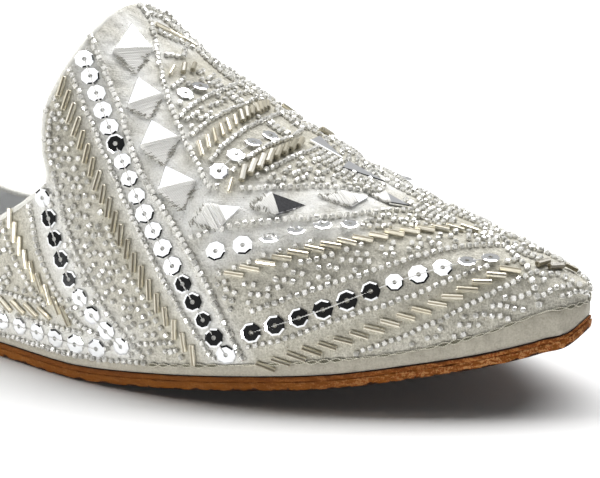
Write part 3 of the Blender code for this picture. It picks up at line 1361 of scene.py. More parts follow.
BUGLE_ROWS = (
    Row(RIDGE, ((9.8, 31.6), (20.6, 40.2), (34.1, 51.6), (50.2, 63.5)), count=21, turn=(-37, -33)),
    Row(SOLE, ((1.35, 29.4), (5.9, 21.9), (10.4, 17.0), (18.75, 10.6)), count=9, turn=(-31, -24)),
    Row(SOLE, ((12.6, 10.0), (1.2, 9.4), (-60.0, 9.4), (-124.5, 9.4)), count=37, turn=(-33, -33)),
    Row(
        SOLE, ((57.6, 21.9), (68.5, 26.2), (81.7, 30.6), (91.3, 34.1), (97.0, 36.3)),
        count=16, turn=(-27, -30), size=0.94,
    ),
    Row(
        SOLE, ((65.8, 2.1), (77.4, 6.0), (89.1, 9.4), (100.0, 12.8), (109.8, 17.6)),
        count=17, turn=(-40, -31), size=0.94,
    ),
    Row(RIDGE, ((41.7, 21.5), (42.8, 15.2), (43.4, 8.0)), count=6, turn=(52, 42), size=0.85),
    Row(RIDGE, ((51.0, 25.0), (51.2, 24.0)), count=1, turn=(24, 24), size=0.85),
    Row(RIDGE, ((27.0, 7.5), (27.2, 7.0)), count=1, turn=(40, 40), size=0.8),
)
OLIVE_ROWS = (
    Row(RIDGE, ((52.0, 20.8), (53.8, 14.5), (55.2, 7.4), (55.8, 1.0)), count=8, turn=(30, 20)),
    Row(RIDGE, ((43.5, 5.5), (43.6, 0.9)), count=3, turn=(40, 35), size=0.9),
    Row(RIDGE, ((28.0, 4.3), (28.7, 1.2)), count=2, turn=(40, 40), size=0.8),
)
TOE_OLIVES = (Row(RIDGE, ((114.5, 2.0), (117.1, 0.9)), count=2, turn=(50, 40), size=0.95),)
BEAD_ROWS = (
    Row(
        RIDGE,
        ((11.3, 17.0), (21.3, 24.1), (33.2, 35.2), (43.6, 40.8), (52.4, 47.4), (61.5, 58.6)),
        1.42, size=1.12,
    ),
    Row(RIDGE, ((9.5, 26.4), (22.8, 35.9), (37.6, 47.9), (49.5, 57.5), (58.5, 64.6)), 1.42),
    Row(RIDGE, ((8.9, 35.0), (22.1, 45.0), (35.4, 56.3), (50.0, 67.4)), 1.9),
    Row(RIDGE, ((17.6, 0.4), (19.5, 2.4), (23.2, 7.1), (33.9, 18.5), (47.0, 28.0)), 1.5),
    Row(RIDGE, ((47.0, 28.0), (54.3, 23.0), (61.3, 16.7), (67.3, 10.0), (76.0, 1.6)), 1.75),
    Row(RIDGE, ((45.5, 41.5), (52.4, 34.8), (64.3, 24.6), (73.2, 16.6), (79.0, 9.6), (84.0, 3.0))),
    Row(RIDGE, ((54.5, 43.4), (63.4, 34.0), (71.7, 25.4), (78.7, 19.0), (87.0, 10.4), (94.0, 2.5))),
    Row(SOLE, ((53.0, 19.4), (63.0, 22.5), (72.0, 24.8), (83.0, 29.2), (92.0, 32.6), (100.0, 35.4))),
    Row(SOLE, ((62.5, 14.2), (73.0, 18.0), (85.4, 21.9), (98.4, 26.9), (106.5, 30.0))),
    Row(
        SOLE,
        ((60.5, 6.0), (67.8, 7.7), (80.7, 11.9), (91.9, 14.5), (103.0, 18.4), (109.2, 21.6)),
    ),
    Row(
        SOLE,
        ((72.5, 1.8), (78.9, 3.1), (90.7, 5.9), (100.1, 9.2), (109.8, 13.4), (114.6, 16.2)),
        1.6,
    ),
    Row(SOLE, ((12.4, 41.0), (17.7, 30.0), (23.3, 21.0), (28.8, 13.7), (38.5, 3.4)), 1.5),
    Row(SOLE, ((6.9, 33.0), (10.4, 23.3), (17.0, 14.3), (23.5, 8.8), (27.0, 7.6)), 1.5),
    Row(SOLE, ((26.0, 7.6), (11.4, 7.6), (-40.0, 7.4), (-124.6, 7.4)), 1.6),
    Row(SOLE, ((42.0, 2.1), (30.0, 2.1), (0.0, 1.9), (-124.6, 1.9)), 1.6),
    Row(SOLE, ((-1.2, 27.6), (3.4, 20.2), (8.0, 15.2), (12.5, 12.0)), 1.6),
    Row(SOLE, ((11.5, 12.2), (0.0, 12.0), (-60.0, 11.8), (-124.6, 12.0)), 1.6),
    Row(RIDGE, ((46.6, 0.8), (45.9, 10.0), (44.8, 22.0)), 1.3),
    Row(RIDGE, ((53.4, 0.8), (51.8, 10.0), (49.8, 21.0)), 1.3),
    Row(RIDGE, ((58.5, 0.8), (56.5, 12.0), (53.3, 23.0)), 1.4),
    Row(RIDGE, ((41.2, 0.8), (40.2, 10.0), (38.4, 21.0)), 1.5),
    Row(RIDGE, ((35.9, 0.8), (35.2, 10.0), (34.4, 17.0)), 1.4),
    Row(RIDGE, ((29.9, 0.8), (29.5, 13.0)), 1.5),
    Row(RIDGE, ((23.6, 4.2), (24.8, 1.8), (25.4, 0.6)), 1.5),
    Row(RIDGE, ((31.0, 0.75), (60.0, 0.75), (113.0, 0.75)), 1.5),
    Row(RIDGE, ((9.6, 36.5), (9.2, 39.5), (9.5, 42.5), (10.8, 45.8), (12.4, 49.3), (13.6, 51.8)), 1.6),
    Row(RIDGE, ((58.5, 2.6), (75.0, 2.4), (90.0, 2.4), (104.0, 2.2)), 1.6),
    Row(
        RIDGE, ((103.6, 0.3), (107.8, 2.8), (112.8, 6.2), (115.4, 9.4), (117.4, 13.0)), 1.9,
        size=1.2,
    ),
    Row(RIDGE, ((116.0, 5.3), (118.2, 3.1), (122.8, 1.9)), 1.7),
    Row(RIDGE, ((117.3, 9.4), (118.8, 6.8), (121.2, 3.8)), 1.7),
    Row(RIDGE, ((120.6, 6.8), (122.2, 4.2), (123.8, 2.2)), 1.7),
    Row(RIDGE, ((110.6, 15.0), (113.2, 12.8), (114.6, 11.2)), 1.6),
    Row(RIDGE, ((108.5, 17.9), (109.9, 16.9), (112.5, 15.8)), 1.7),
    Row(RIDGE, ((107.2, 20.3), (108.6, 19.9), (110.1, 18.8)), 1.7),
)


class Zone(NamedTuple):
    """A stretch of cloth filled with beads on short strings.

    outline is a polygon on the chart, slant the strings' direction on it in degrees, apart the
    distance between strings and pitch the distance from bead to bead. A string has up to
    longest beads, and then one is left out.
    """

    datum: Datum
    outline: tuple
    slant: float
    apart: float = 1.9
    pitch: float = 1.75
    longest: int = 5


ZONES = (
    Zone(
        RIDGE,
        (
            (7, 35), (22, 46), (35, 57), (51, 68.5), (57, 76), (40, 88), (30, 88), (18, 70),
            (11, 60), (6, 50),
        ),
        40.0, 1.95, 1.75, 7,
    ),
    Zone(
        SOLE,
        (
            (52, 18), (63, 21.5), (72, 23.8), (84, 28.4), (100, 34.4), (106, 34.4), (106, 31),
            (98, 28), (85, 23), (73, 19.2), (62, 15.2), (57, 13),
        ),
        -10.0,
    ),
    Zone(
        SOLE,
        (
            (76, 1.2), (91, 4.8), (100, 8.2), (110, 12.4), (115, 15.5), (117, 12.5),
            (114, 7.0), (112, 4.5), (104, 4.5), (96, 3.4), (86, 1.2),
        ),
        -5.0, 1.9, 1.75, 4,
    ),
    Zone(
        RIDGE,
        (
            (84.5, 3.4), (79, 9), (77.5, 14), (79, 17.5), (87, 9.4), (94, 3.4), (103, 3.4),
            (103, 1), (84, 1),
        ),
        -42.0, 1.7, 1.55, 9,
    ),
    Zone(
        SOLE,
        ((92, 38), (97, 38), (103, 36.4), (106, 35.2), (104, 30), (100, 36.2)),
        20.0, 1.7, 1.6, 6,
    ),
    Zone(
        RIDGE,
        ((59, 3), (57.4, 12), (54, 22.4), (55, 22), (62, 15), (67, 9), (73, 3.4)),
        -72.0, 1.8, 1.6, 6,
    ),
    Zone(RIDGE, ((36.6, 2), (35.9, 10), (35, 17), (38, 20), (39.6, 10), (40.6, 2)), -80.0, 1.6, 1.7, 6),
    Zone(RIDGE, ((30.4, 2), (30.2, 12), (34, 16), (34.8, 9), (35.2, 2)), -80.0, 1.5, 1.7, 6),
    Zone(
        SOLE,
        ((1.5, 19), (-3, 30), (-8, 48), (-125, 48), (-125, 13), (8, 13)),
        -53.0, 1.95, 1.75, 7,
    ),
    Zone(SOLE, ((58, 3.2), (68, 3.4), (62, 6.2), (59, 5.4)), -5.0, 1.7, 1.6, 5),
)
FAR_ROWS = (
    Row(RIDGE, ((12.2, -3.0), (14.5, -2.6), (16.9, -0.9)), 1.5),
    Row(
        RIDGE,
        (
            (12.5, -6.5), (13.2, -9.0), (16.0, -10.8), (20.0, -12.3), (25.2, -11.2), (31.0, -10.2),
            (35.0, -11.5), (40.0, -12.0), (45.2, -11.8), (52.0, -10.8), (57.0, -13.0),
        ),
        1.5,
    ),
    Row(RIDGE, ((14.3, -5.0), (15.0, -7.4), (18.6, -9.6), (22.8, -10.3)), 1.5),
    Row(RIDGE, ((24.4, -8.6), (30.0, -7.6), (35.2, -8.2), (45.2, -8.6), (51.8, -7.8)), 1.5),
    Row(RIDGE, ((104.6, -6.8), (110.0, -6.2), (114.2, -5.4), (118.6, -4.6), (122.0, -3.0)), 1.8, size=1.1),
    Row(RIDGE, ((57.0, -13.0), (66.0, -11.8), (78.0, -9.0), (90.0, -8.0), (104.0, -8.0)), 1.5),
    Row(RIDGE, ((74.0, -6.6), (88.0, -5.4), (104.0, -5.4)), 1.5),
)


class Mirror(NamedTuple):
    """A triangular mirror on the ridge chart, and the far corner of its threads.

    tilt turns it about the axes along and across the shoe, in degrees. cover is the share of
    it under its threads, from its base towards its apex. The last field is the glass's painted
    reflection: 1.2 for a bright mirror, 0.5 for a painted grey reflection and 0 for a painted black one.
    """

    apex: tuple[float, float]
    left: tuple[float, float]
    right: tuple[float, float]
    fan: tuple[float, float]
    tilt: tuple[float, float] = (0.0, 0.0)
    cover: float = 0.03
    reflection_paint: float = 1.2


MIRRORS = (
    Mirror((15.0, 5.2), (16.2, 15.4), (21.2, 6.2), (22.3, 15.8)),
    Mirror((23.0, 16.2), (24.0, 24.0), (29.2, 15.2), (29.5, 22.8), (4.0, 0.0)),
    Mirror((29.9, 22.8), (30.1, 30.0), (37.0, 22.0), (36.6, 30.0)),
    Mirror((36.8, 29.9), (37.1, 35.8), (44.3, 28.6), (43.6, 36.2)),
    Mirror((54.8, 28.0), (47.8, 32.0), (52.2, 35.3), (45.8, 37.8), cover=0.34),
    # This mirror and the next have painted reflections: black, then grey.
    Mirror((66.5, 18.5), (58.8, 21.5), (62.2, 25.3), (56.2, 26.8), (-9.0, 0.0), reflection_paint=0.0),
    Mirror((75.5, 6.4), (70.4, 9.4), (74.4, 12.4), (67.4, 14.6), cover=0.34, reflection_paint=0.5),
    Mirror((83.4, 1.8), (76.6, 0.6), (79.6, 4.4), (74.6, 4.6)),
)
FAR_MIRRORS = (
    Mirror((64.0, -4.4), (56.0, -3.4), (55.4, -9.4), (53.2, -3.8)),
    Mirror((74.6, -4.6), (66.0, 0.4), (65.0, -4.6), (64.2, -2.0)),
)
FAR_BUGLES = (Row(RIDGE, ((17.8, -3.6), (20.2, -6.6), (21.9, -8.6)), count=3, size=0.85),)
FAR_OLIVES = (Row(RIDGE, ((43.6, -1.4), (43.4, -6.8)), count=4, turn=(38, 28), size=0.9),)
FAR_TOE_OLIVES = (Row(RIDGE, ((119.2, -2.3), (119.8, -2.6)), count=1, size=0.65),)

# Mirrors that the far side repeats, those whose fans get painted shade round them, and those with painted
# light round them
COPIED, PAINTED_SHADE_FANS, PAINTED_LIGHT_MIRRORS = slice(1, 5), slice(0, 4), slice(0, 7)
# Sequin rows with painted light on the cloth round them
PAINTED_LIGHT_ROWS = (0, 1, 2, 4)
# How far from the shoe's middle towards the toe the line over the band ends
CORD_END = 40.0


def band_top(x: Array) -> Array:
    """Height of the plain band's upper edge at places along the shoe."""
    shares, knots, _, _ = FORM.knots()
    margin = np.interp(x, knots[::-1], shares[::-1, 6])
    return FORM.seat + FORM.spring(x) + margin


def inside(outline: Array, x: Array, y: Array) -> Array:
    """Whether places are in a polygon: its sides cross the line to their right an odd number
    of times."""
    after = np.roll(outline, -1, axis=0)
    rise = after[:, 1] - outline[:, 1]
    spans = (outline[:, 1] > y[..., None]) != (after[:, 1] > y[..., None])
    share = (y[..., None] - outline[:, 1]) / np.where(rise == 0.0, 1.0, rise)
    crossing = outline[:, 0] + share * (after[:, 0] - outline[:, 0])
    return (spans & (x[..., None] < crossing)).sum(axis=-1) % 2 == 1


class Ground:
    """One side of the upper, with what is already placed on it."""

    ridge_room = 0.3
    cord_room = 0.5
    edge_share = 0.4
    batch = 500

    def __init__(self, side: float) -> None:
        """Starts with nothing placed; side is -1 for the near side and 1 for the far side."""
        self.side = side
        self.taken = np.zeros((1, 4))

    def take(self, points: Array, radius: float) -> None:
        """Keeps later pieces away from these places."""
        rows = np.concatenate([points, np.full((len(points), 1), radius)], axis=1)
        self.taken = np.concatenate([self.taken, rows])

    def free(self, points: Array, radius: float) -> Array:
        """Whether each place is on the cloth of this side and clear of all that is placed."""
        clear = cloth_margin(points) > self.edge_share * radius
        clear &= points[:, 1] * self.side > self.ridge_room
        room = np.where(points[:, 0] > CORD_END, radius + self.cord_room, 0.0)
        clear &= points[:, 2] > band_top(points[:, 0]) + room
        for start in range(0, len(points), self.batch):
            part = slice(start, start + self.batch)
            apart = np.linalg.norm(points[part, None] - self.taken[None, :, :3], axis=-1)
            clear[part] &= (apart > self.taken[None, :, 3] + radius).all(axis=1)
        return clear

    def keep(self, places: Places, radius: float) -> Places:
        """The free ones among some places, which are then taken."""
        places = places.chosen(self.free(places.centre, radius))
        self.take(places.centre, radius)
        return places


@dataclass
class Embroidery:
    """Beads, sequins, mirrors and threads on the upper."""

    bead_radius: float = 0.62
    bead_length: float = 1.2
    bead_room: float = 0.62
    far_bead_room: float = 0.5
    bead_sink: float = 0.6
    bead_stray: float = 0.09
    bead_swing: float = 0.17
    bead_tip: float = 0.13
    bead_roll: float = 0.4
    string_stray: tuple[float, float] = (0.12, 0.17)
    string_swing: float = 0.3
    shortest_string: int = 3
    sequin_radius: float = 2.1
    sequin_lift: float = 0.6
    sequin_room: float = 1.2
    sequin_wobble: float = 0.4
    bugle_length: float = 4.5
    bugle_radius: float = 0.58
    bugle_room: float = 0.2
    bugle_wobble: float = 2.4
    edge_room: float = 0.8
    ridge_room: float = 0.2
    olive_radius: float = 0.78
    far_trim_start: float = 19.0
    cloth_lift: float = 0.3
    plate: float = 0.6
    plate_rim: float = 0.22
    mirror_lift: float = 0.35
    mirror_top: float = 0.45
    mirror_bevel: float = 0.09
    mirror_room: float = 0.2
    guard_lift: float = 0.8
    guards: int = 70
    core_height: float = 12.0
    pad_top: float = 0.12
    pad_bevel: float = 0.2
    fan_room: float = 0.1
    satin_radius: float = 0.17
    satin_stray: float = 0.05
    ply_lift: float = 0.78
    ply_pitch: float = 1.3
    ply_apart: float = 0.08
    ply_radius: float = 0.075
    cord_swing: float = 0.46
    cord_radius: float = 0.14
    core_swing: float = 0.2
    core_radius: float = 0.17
    core_lift: float = 0.45
    # Reach of the painted shade and of the painted light on the cloth
    painted_shade_reach: float = 3.4
    painted_light_reach: float = 4.4
    random_seed: int = 20
    bead_glass: Glass = Glass(
        "silver_lined_glass", (0.81, 0.80, 0.75), (0.56, 0.55, 0.50), metal=0.2,
        roughness=0.12, coat=1.0, clear=0.7, coat_index=2.2,
    )
    # Its stripe colour is a painted dark reflection along each bugle's top.
    gold_glass: Glass = Glass(
        "pale_gold_glass", (0.97, 0.93, 0.80), (0.78, 0.72, 0.56), metal=0.55,
        painted_reflection_stripe=(0.30, 0.26, 0.18),
    )
    olive_glass: Glass = Glass(
        "olive_glass", (0.42, 0.38, 0.28), (0.26, 0.24, 0.17), metal=0.0, roughness=0.25
    )
    # The toe's olive bugles get a darker copy of the olive glass: painted shade.
    shaded_olive_glass: Glass = Glass(
        "shaded_olive_glass", (0.22, 0.19, 0.12), (0.12, 0.10, 0.06), metal=0.1, roughness=0.25
    )
    sequin_foil: Glass = Glass(
        "silver_sequin", (0.93, 0.94, 0.95), (0.80, 0.81, 0.82), metal=1.0, roughness=0.04,
        spread=0.05, coat=0.0, grain=0.003,
    )
    mirror_glass: Glass = Glass(
        "mirror_glass", (0.93, 0.94, 0.96), (0.10, 0.10, 0.11), metal=1.0, roughness=0.02,
        coat=0.0, grain=0.0005,
    )
    satin_thread: Thread = Thread(
        "white_satin_thread", (0.90, 0.89, 0.86), (0.78, 0.77, 0.73), relief=0.02
    )
    stitch_thread: Thread = Thread("dark_stitch_thread", (0.40, 0.39, 0.33), (0.17, 0.16, 0.13))
    cord_thread: Thread = Thread("cream_cord_thread", (0.72, 0.69, 0.58), (0.45, 0.43, 0.33))
    core_thread: Thread = Thread("olive_core_thread", (0.20, 0.19, 0.11), (0.08, 0.075, 0.05))

    def __post_init__(self) -> None:
        """Starts with nothing placed."""
        self.random = np.random.default_rng(self.random_seed)
        self.near = Ground(-1.0)
        self.far = Ground(1.0)

    @property
    def bead_lift(self) -> float:
        """Height of a seed bead's middle over the surface."""
        return self.cloth_lift + self.bead_sink * self.bead_radius

    def seed_template(self) -> Shape:
        """A short glass tube with sloping ends."""
        half, outer = self.bead_length / 2, self.bead_radius
        return glass_tube(((-half, 0.28), (-0.62 * half, outer)))

    def bugle_template(self, radius: float) -> Shape:
        """A long glass tube with square ends."""
        half = self.bugle_length / 2
        return glass_tube(((-half, 0.2), (-half, 0.85 * radius), (0.1 - half, radius)))

    def sequin_template(self) -> Shape:
        """A thin disc with a hole, whose rim of eight flats slopes down."""
        outer = self.sequin_radius
        profile = (
            (0.05, 0.5), (0.05, 0.8 * outer), (-0.06, outer), (0.02, outer),
            (0.13, 0.81 * outer), (0.13, 0.5),
        )
        return turned_profile(profile, 8)

    def sequins(self, rows: tuple) -> Places:
        """Places of sequins, each leaning as its row says and tipped a little by chance."""
        groups = []
        for row in rows:
            places = strung(row, self.sequin_lift)
            lean = np.zeros(len(places.centre))
            lean[: len(row.lean)] = np.radians(row.lean)
            rise = 0.7 * self.sequin_radius * np.abs(np.sin(lean))
            places = places._replace(centre=places.centre + rise[:, None] * places.normal)
            groups.append(places.leaned(lean))
        places = self.near.keep(joined_places(groups), self.sequin_room)
        self.near.take(places.centre, 0.85 * self.sequin_radius)
        count = len(places.centre)
        places = places.turned(self.random.uniform(0.0, 0.7, count))
        places = places.tipped(np.radians(self.random.normal(0.0, self.sequin_wobble, count)))
        return places.rolled(np.radians(self.random.normal(0.0, self.sequin_wobble, count)))

    def bugles(self, rows: tuple, radius: float, ground: Ground) -> Places:
        """Places of bugle beads.

        Args:
            rows: Their rows.
            radius: Their radius.
            ground: The side they are on.

        Returns:
            The places.
        """
        places = joined_places([strung(row, self.cloth_lift + radius) for row in rows])
        on_cloth = cloth_margin(places.centre) > self.edge_room
        off_ridge = places.centre[:, 1] * ground.side > self.ridge_room
        places = places.chosen(on_cloth & off_ridge)
        wobble = self.random.normal(0.0, self.bugle_wobble, len(places.centre))
        places = places.turned(np.radians(wobble))
        for share in (-0.38, 0.0, 0.38):
            middle = places.centre + share * self.bugle_length * places.along
            ground.take(middle, radius + self.bugle_room)
        return places

    def tumbled(self, places: Places) -> Places:
        """The places rolled and tipped by chance, as beads lie on their threads."""
        count = len(places.centre)
        places = places.rolled(self.random.uniform(-self.bead_roll, self.bead_roll, count))
        return places.tipped(self.random.normal(0.0, self.bead_tip, count))

    def bead_row(self, row: Row, ground: Ground) -> Places:
        """Places of a row's beads, which stray a little from its line."""
        places = strung(row, self.bead_lift)
        count = len(places.centre)
        stray = self.random.normal(0.0, self.bead_stray, (count, 1))
        places = places._replace(centre=places.centre + stray * places.across)
        places = places.turned(self.random.normal(0.0, self.bead_swing, count))
        return ground.keep(self.tumbled(places), self.bead_room)

    def bead_zone(self, zone: Zone, ground: Ground) -> Places:
        """Places of a zone's beads, on even lines that are broken into short strings."""
        outline = np.array(zone.outline, dtype=float)
        middle = outline.mean(axis=0)
        reach = np.linalg.norm(outline - middle, axis=1).max()
        lines = np.arange(-reach, reach, zone.apart)[:, None]
        steps = np.arange(-reach, reach, zone.pitch)[None, :]
        shape = (lines.size, steps.size)
        number = np.arange(steps.size) + self.random.integers(0, 9, lines.shape)
        length = self.random.integers(self.shortest_string, zone.longest + 2, lines.shape)
        along = steps + self.random.uniform(0.0, zone.pitch, lines.shape)
        along = along + self.random.normal(0.0, self.string_stray[0], shape)
        across = lines + self.random.normal(0.0, self.string_stray[1], shape)
        slant = math.radians(zone.slant)
        x = middle[0] + along * math.cos(slant) - across * math.sin(slant)
        distance = middle[1] + along * math.sin(slant) + across * math.cos(slant)
        kept = (number % length != 0) & inside(outline, x, distance)
        places = laid(x[kept], distance[kept], zone.datum, slant, self.bead_lift)
        swing = self.random.normal(0.0, self.string_swing, len(places.centre))
        places = places.turned(swing)
        return ground.keep(self.tumbled(places), self.bead_room)

    def corners(self, mirror: Mirror, lift: float) -> tuple[Array, Array]:
        """Corners of a mirror and of its threads over the surface.

        Args:
            mirror: The mirror.
            lift: Height over the surface.

        Returns:
            Apex, left, right and fan corner, and the mirror's normal.
        """
        corners = np.array([mirror.apex, mirror.left, mirror.right, mirror.fan])
        points, _ = CHART.lifted(corners[:, 0], corners[:, 1], Datum.RIDGE, lift)
        normal = unit(np.cross(points[1] - points[0], points[2] - points[0]))
        middle = points[:3].mean(axis=0)
        outward = middle - np.array([middle[0], 0.0, self.core_height])
        normal = normal if normal @ outward > 0.0 else -normal
        forward = unit(points[0] - middle)
        slope = np.tan(np.radians(mirror.tilt))
        apart = points - middle
        rise = slope[0] * (apart @ forward) + slope[1] * (apart @ np.cross(normal, forward))
        rise[3] = 0.0
        points = points + rise[:, None] * normal
        turned = unit(np.cross(points[1] - points[0], points[2] - points[0]))
        return points, turned if turned @ normal > 0.0 else -turned

    def plate_of(self, corners: Array, normal: Array, top: float, bevel: float) -> Shape:
        """A flat triangle with a bevelled rim: rings of three corners.

        Args:
            corners: Its three corners.
            normal: Its normal.
            top: Height of its face over the corners.
            bevel: How much of its size the bevel takes.

        Returns:
            The plate.
        """
        middle = corners.mean(axis=0)
        inner = middle + (1.0 - bevel) * (corners - middle)
        under, rim, face = (top - self.plate) * normal, (top - self.plate_rim) * normal, top * normal
        rings = [
            np.repeat(middle[None] + under, 3, axis=0), corners + under, corners + rim,
            inner + face, np.repeat(middle[None] + face, 3, axis=0),
        ]
        return Shape(np.concatenate(rings), grid_faces(5, 3, wrap=True)).with_outward_faces()

    def mirror_plate(self, mirror: Mirror) -> Shape:
        """The glass of a mirror."""
        points, normal = self.corners(mirror, self.cloth_lift + self.mirror_lift)
        return self.plate_of(points[:3], normal, self.mirror_top, self.mirror_bevel)

    def satin(self, mirror: Mirror, threads: int = 30) -> list[Shape]:
        """Fine threads beside one another from the mirror's base to the fan's corner."""
        points, normal = self.corners(mirror, self.cloth_lift)
        apex, left, right, fan = points
        made = [self.plate_of(points[1:], normal, self.pad_top, self.pad_bevel)]
        for share in np.linspace(-mirror.cover, 0.93, threads):
            goal = fan if share > 0.0 else apex
            swing = self.random.normal(0.0, self.satin_stray, (2, 3))
            start = left + abs(share) * (goal - left) + swing[0]
            end = right + abs(share) * (goal - right) + swing[1]
            step = np.linspace(0.0, 1.0, 9)[:, None]
            height = 0.12 + 0.68 * math.exp(-5.0 * max(share, 0.0))
            arch = height + 0.2 * np.sin(math.pi * step) ** 0.5
            path = start + step * (end - start) + arch * normal
            made.append(tube(path, self.satin_radius, sides=5))
        return made

    def edge_stitches(self, mirror: Mirror, stitches: int = 16) -> list[Shape]:
        """Short dark stitches at the fan's two free sides, roughly along its threads."""
        points, normal = self.corners(mirror, self.cloth_lift + 0.3)
        _, left, right, fan = points
        made = []
        for side, other in ((left, right), (right, left)):
            for share in self.random.uniform(0.1, 1.0, stitches):
                inward = unit((other - side) + self.random.normal(0.0, 1.8, 3))
                half = self.random.uniform(0.25, 0.8) * inward
                middle = side + share * (fan - side) + self.random.normal(0.1, 0.3) * inward
                step = np.linspace(-1.0, 1.0, 5)[:, None]
                path = middle + step * half + 0.18 * (1.0 - step**2) * normal
                made.append(tube(path, self.random.uniform(0.07, 0.13), sides=5))
        return made

    def sequin_thread(self) -> list[Shape]:
        """A fine thread of two plies that runs from sequin to sequin over their rims."""
        made = []
        for row in (*SEQUIN_ROWS, *CREST_SEQUINS):
            course = chart_curve(row.knots, 360)
            x, distance = course.T
            points, normal = CHART.lifted(x, distance, row.datum, self.ply_lift)
            twist = 2 * math.pi * chord_lengths(points)[:, None] / self.ply_pitch
            across = np.cross(normal, unit(np.gradient(points, axis=0)))
            keep = (cloth_margin(points) > 1.2) & (points[:, 1] < -1.0)
            for start in (0.0, math.pi):
                ring = np.cos(twist + start) * across + np.sin(twist + start) * normal
                path = (points + self.ply_apart * ring)[keep]
                made.append(tube(path, self.ply_radius, sides=4))
        return made

    def band_thread(self, swing: float, radius: float, lift: float = 0.55) -> Shape:
        """A strand of the line over the band, from the toe to where beads take its place.

        Its height over the sole's edge swings in long uneven loops.

        Args:
            swing: Half the loops' height.
            radius: The strand's radius.
            lift: Height of its underside over the solid.

        Returns:
            The strand.
        """
        girth = np.arange(0.3, FORM.girth - 0.2, 0.3)
        here = FORM.station(girth)
        size = 0.6 + 0.5 * np.sin(girth / 7.3) * np.sin(girth / 2.9)
        loops = swing * size * np.sin(2 * math.pi * girth / 6.0 + 0.9 * np.sin(girth / 5.0))
        angle = FORM.angle_at(girth, here.margin + 0.1 + loops)
        path = FORM.surface(girth, angle) + (lift + radius) * FORM.normal(girth, angle)
        path[:, 1] = np.minimum(path[:, 1], -0.1)
        return tube(path[here.x > CORD_END], radius, sides=5)

    def far_of(self, places: Places, room: float = 0.0) -> Places:
        """The far side's copy of places, without those on what only the far side has.

        Args:
            places: The near side's places.
            room: What a bead needs round it, or 0 for trim, whose copy starts off the ridge.

        Returns:
            The copy.
        """
        copy = places.mirrored()
        if room:
            return self.far.keep(copy, room)
        return copy.chosen(copy.centre[:, 1] > self.far_trim_start)

    def build_beads(self) -> None:
        """Places and makes bugle beads, sequins and seed beads of both sides."""
        sequins = self.sequins(SEQUIN_ROWS)
        crest_sequins = self.sequins(CREST_SEQUINS)
        bugles = self.bugles(BUGLE_ROWS, self.bugle_radius, self.near)
        olives = self.bugles(OLIVE_ROWS, self.olive_radius, self.near)
        toe_olives = self.bugles(TOE_OLIVES, self.olive_radius, self.near)
        # Painted shade round bugles, olive bugles and mirror fans: the cloth there darkens and yellows.
        fans = [self.corners(mirror, 0.0)[0][3:] for mirror in MIRRORS[PAINTED_SHADE_FANS]]
        painted_shade = np.concatenate([bugles.centre, olives.centre, *fans])
        self.mark_cloth("painted_shade", painted_shade, self.painted_shade_reach)
        # Painted light round sequins and mirrors: the cloth there is lighter.
        painted_light = [strung(SEQUIN_ROWS[row], 0.0).centre for row in PAINTED_LIGHT_ROWS]
        painted_light += [self.corners(mirror, 0.0)[0] for mirror in MIRRORS[PAINTED_LIGHT_MIRRORS]]
        self.mark_cloth("painted_light", np.concatenate(painted_light), self.painted_light_reach)
        far_bugles = self.bugles(FAR_BUGLES, self.bugle_radius, self.far)
        far_olives = self.bugles(FAR_OLIVES, self.olive_radius, self.far)
        far_toe_olives = self.bugles(FAR_TOE_OLIVES, self.olive_radius, self.far)
        rows = joined_places([self.bead_row(row, self.near) for row in BEAD_ROWS])
        zones = joined_places([self.bead_zone(zone, self.near) for zone in ZONES])
        far_beads = joined_places([self.bead_row(row, self.far) for row in FAR_ROWS])
        far_rows = self.far_of(rows, self.far_bead_room)
        far_zones = self.far_of(zones, self.far_bead_room)
        glass, gold = self.bead_glass.material(), self.gold_glass.material()
        olive, shaded_olive = self.olive_glass.material(), self.shaded_olive_glass.material()
        seed, disc = self.seed_template(), self.sequin_template()
        bugle, lump = (self.bugle_template(size) for size in (self.bugle_radius, self.olive_radius))
        for name, template, near, far, material in (
            ("row_beads", seed, [rows], [far_rows], glass),
            ("loose_beads", seed, [zones], [far_zones, far_beads], glass),
            ("bugle_beads", bugle, [bugles], [self.far_of(bugles), far_bugles], gold),
            ("olive_bugles", lump, [olives], [self.far_of(olives), far_olives], olive),
            # Toe olives: a darker copy of the olive glass, painted shade
            (
                "toe_olive_bugles", lump, [toe_olives],
                [self.far_of(toe_olives), far_toe_olives], shaded_olive,
            ),
            (
                "sequins", disc, [sequins, crest_sequins], [self.far_of(sequins)],
                self.sequin_foil.material(),
            ),
        ):
            self.place_trim(name, template, joined_places(near), joined_places(far), material)

    def mark_cloth(self, name: str, places: Array, reach: float) -> None:
        """Gives the cloth's points a nearness to places on the near side and their mirrors."""
        cloth = bpy.data.objects["upper_cloth"]
        points = points_of(cloth)
        points[:, 1] = np.abs(points[:, 1])
        apart = np.full(len(points), np.inf)
        for goal in places * FLIP:
            apart = np.minimum(apart, np.linalg.norm(points - goal, axis=1))
        carry(cloth, name, np.exp(-((apart / reach) ** 2)))

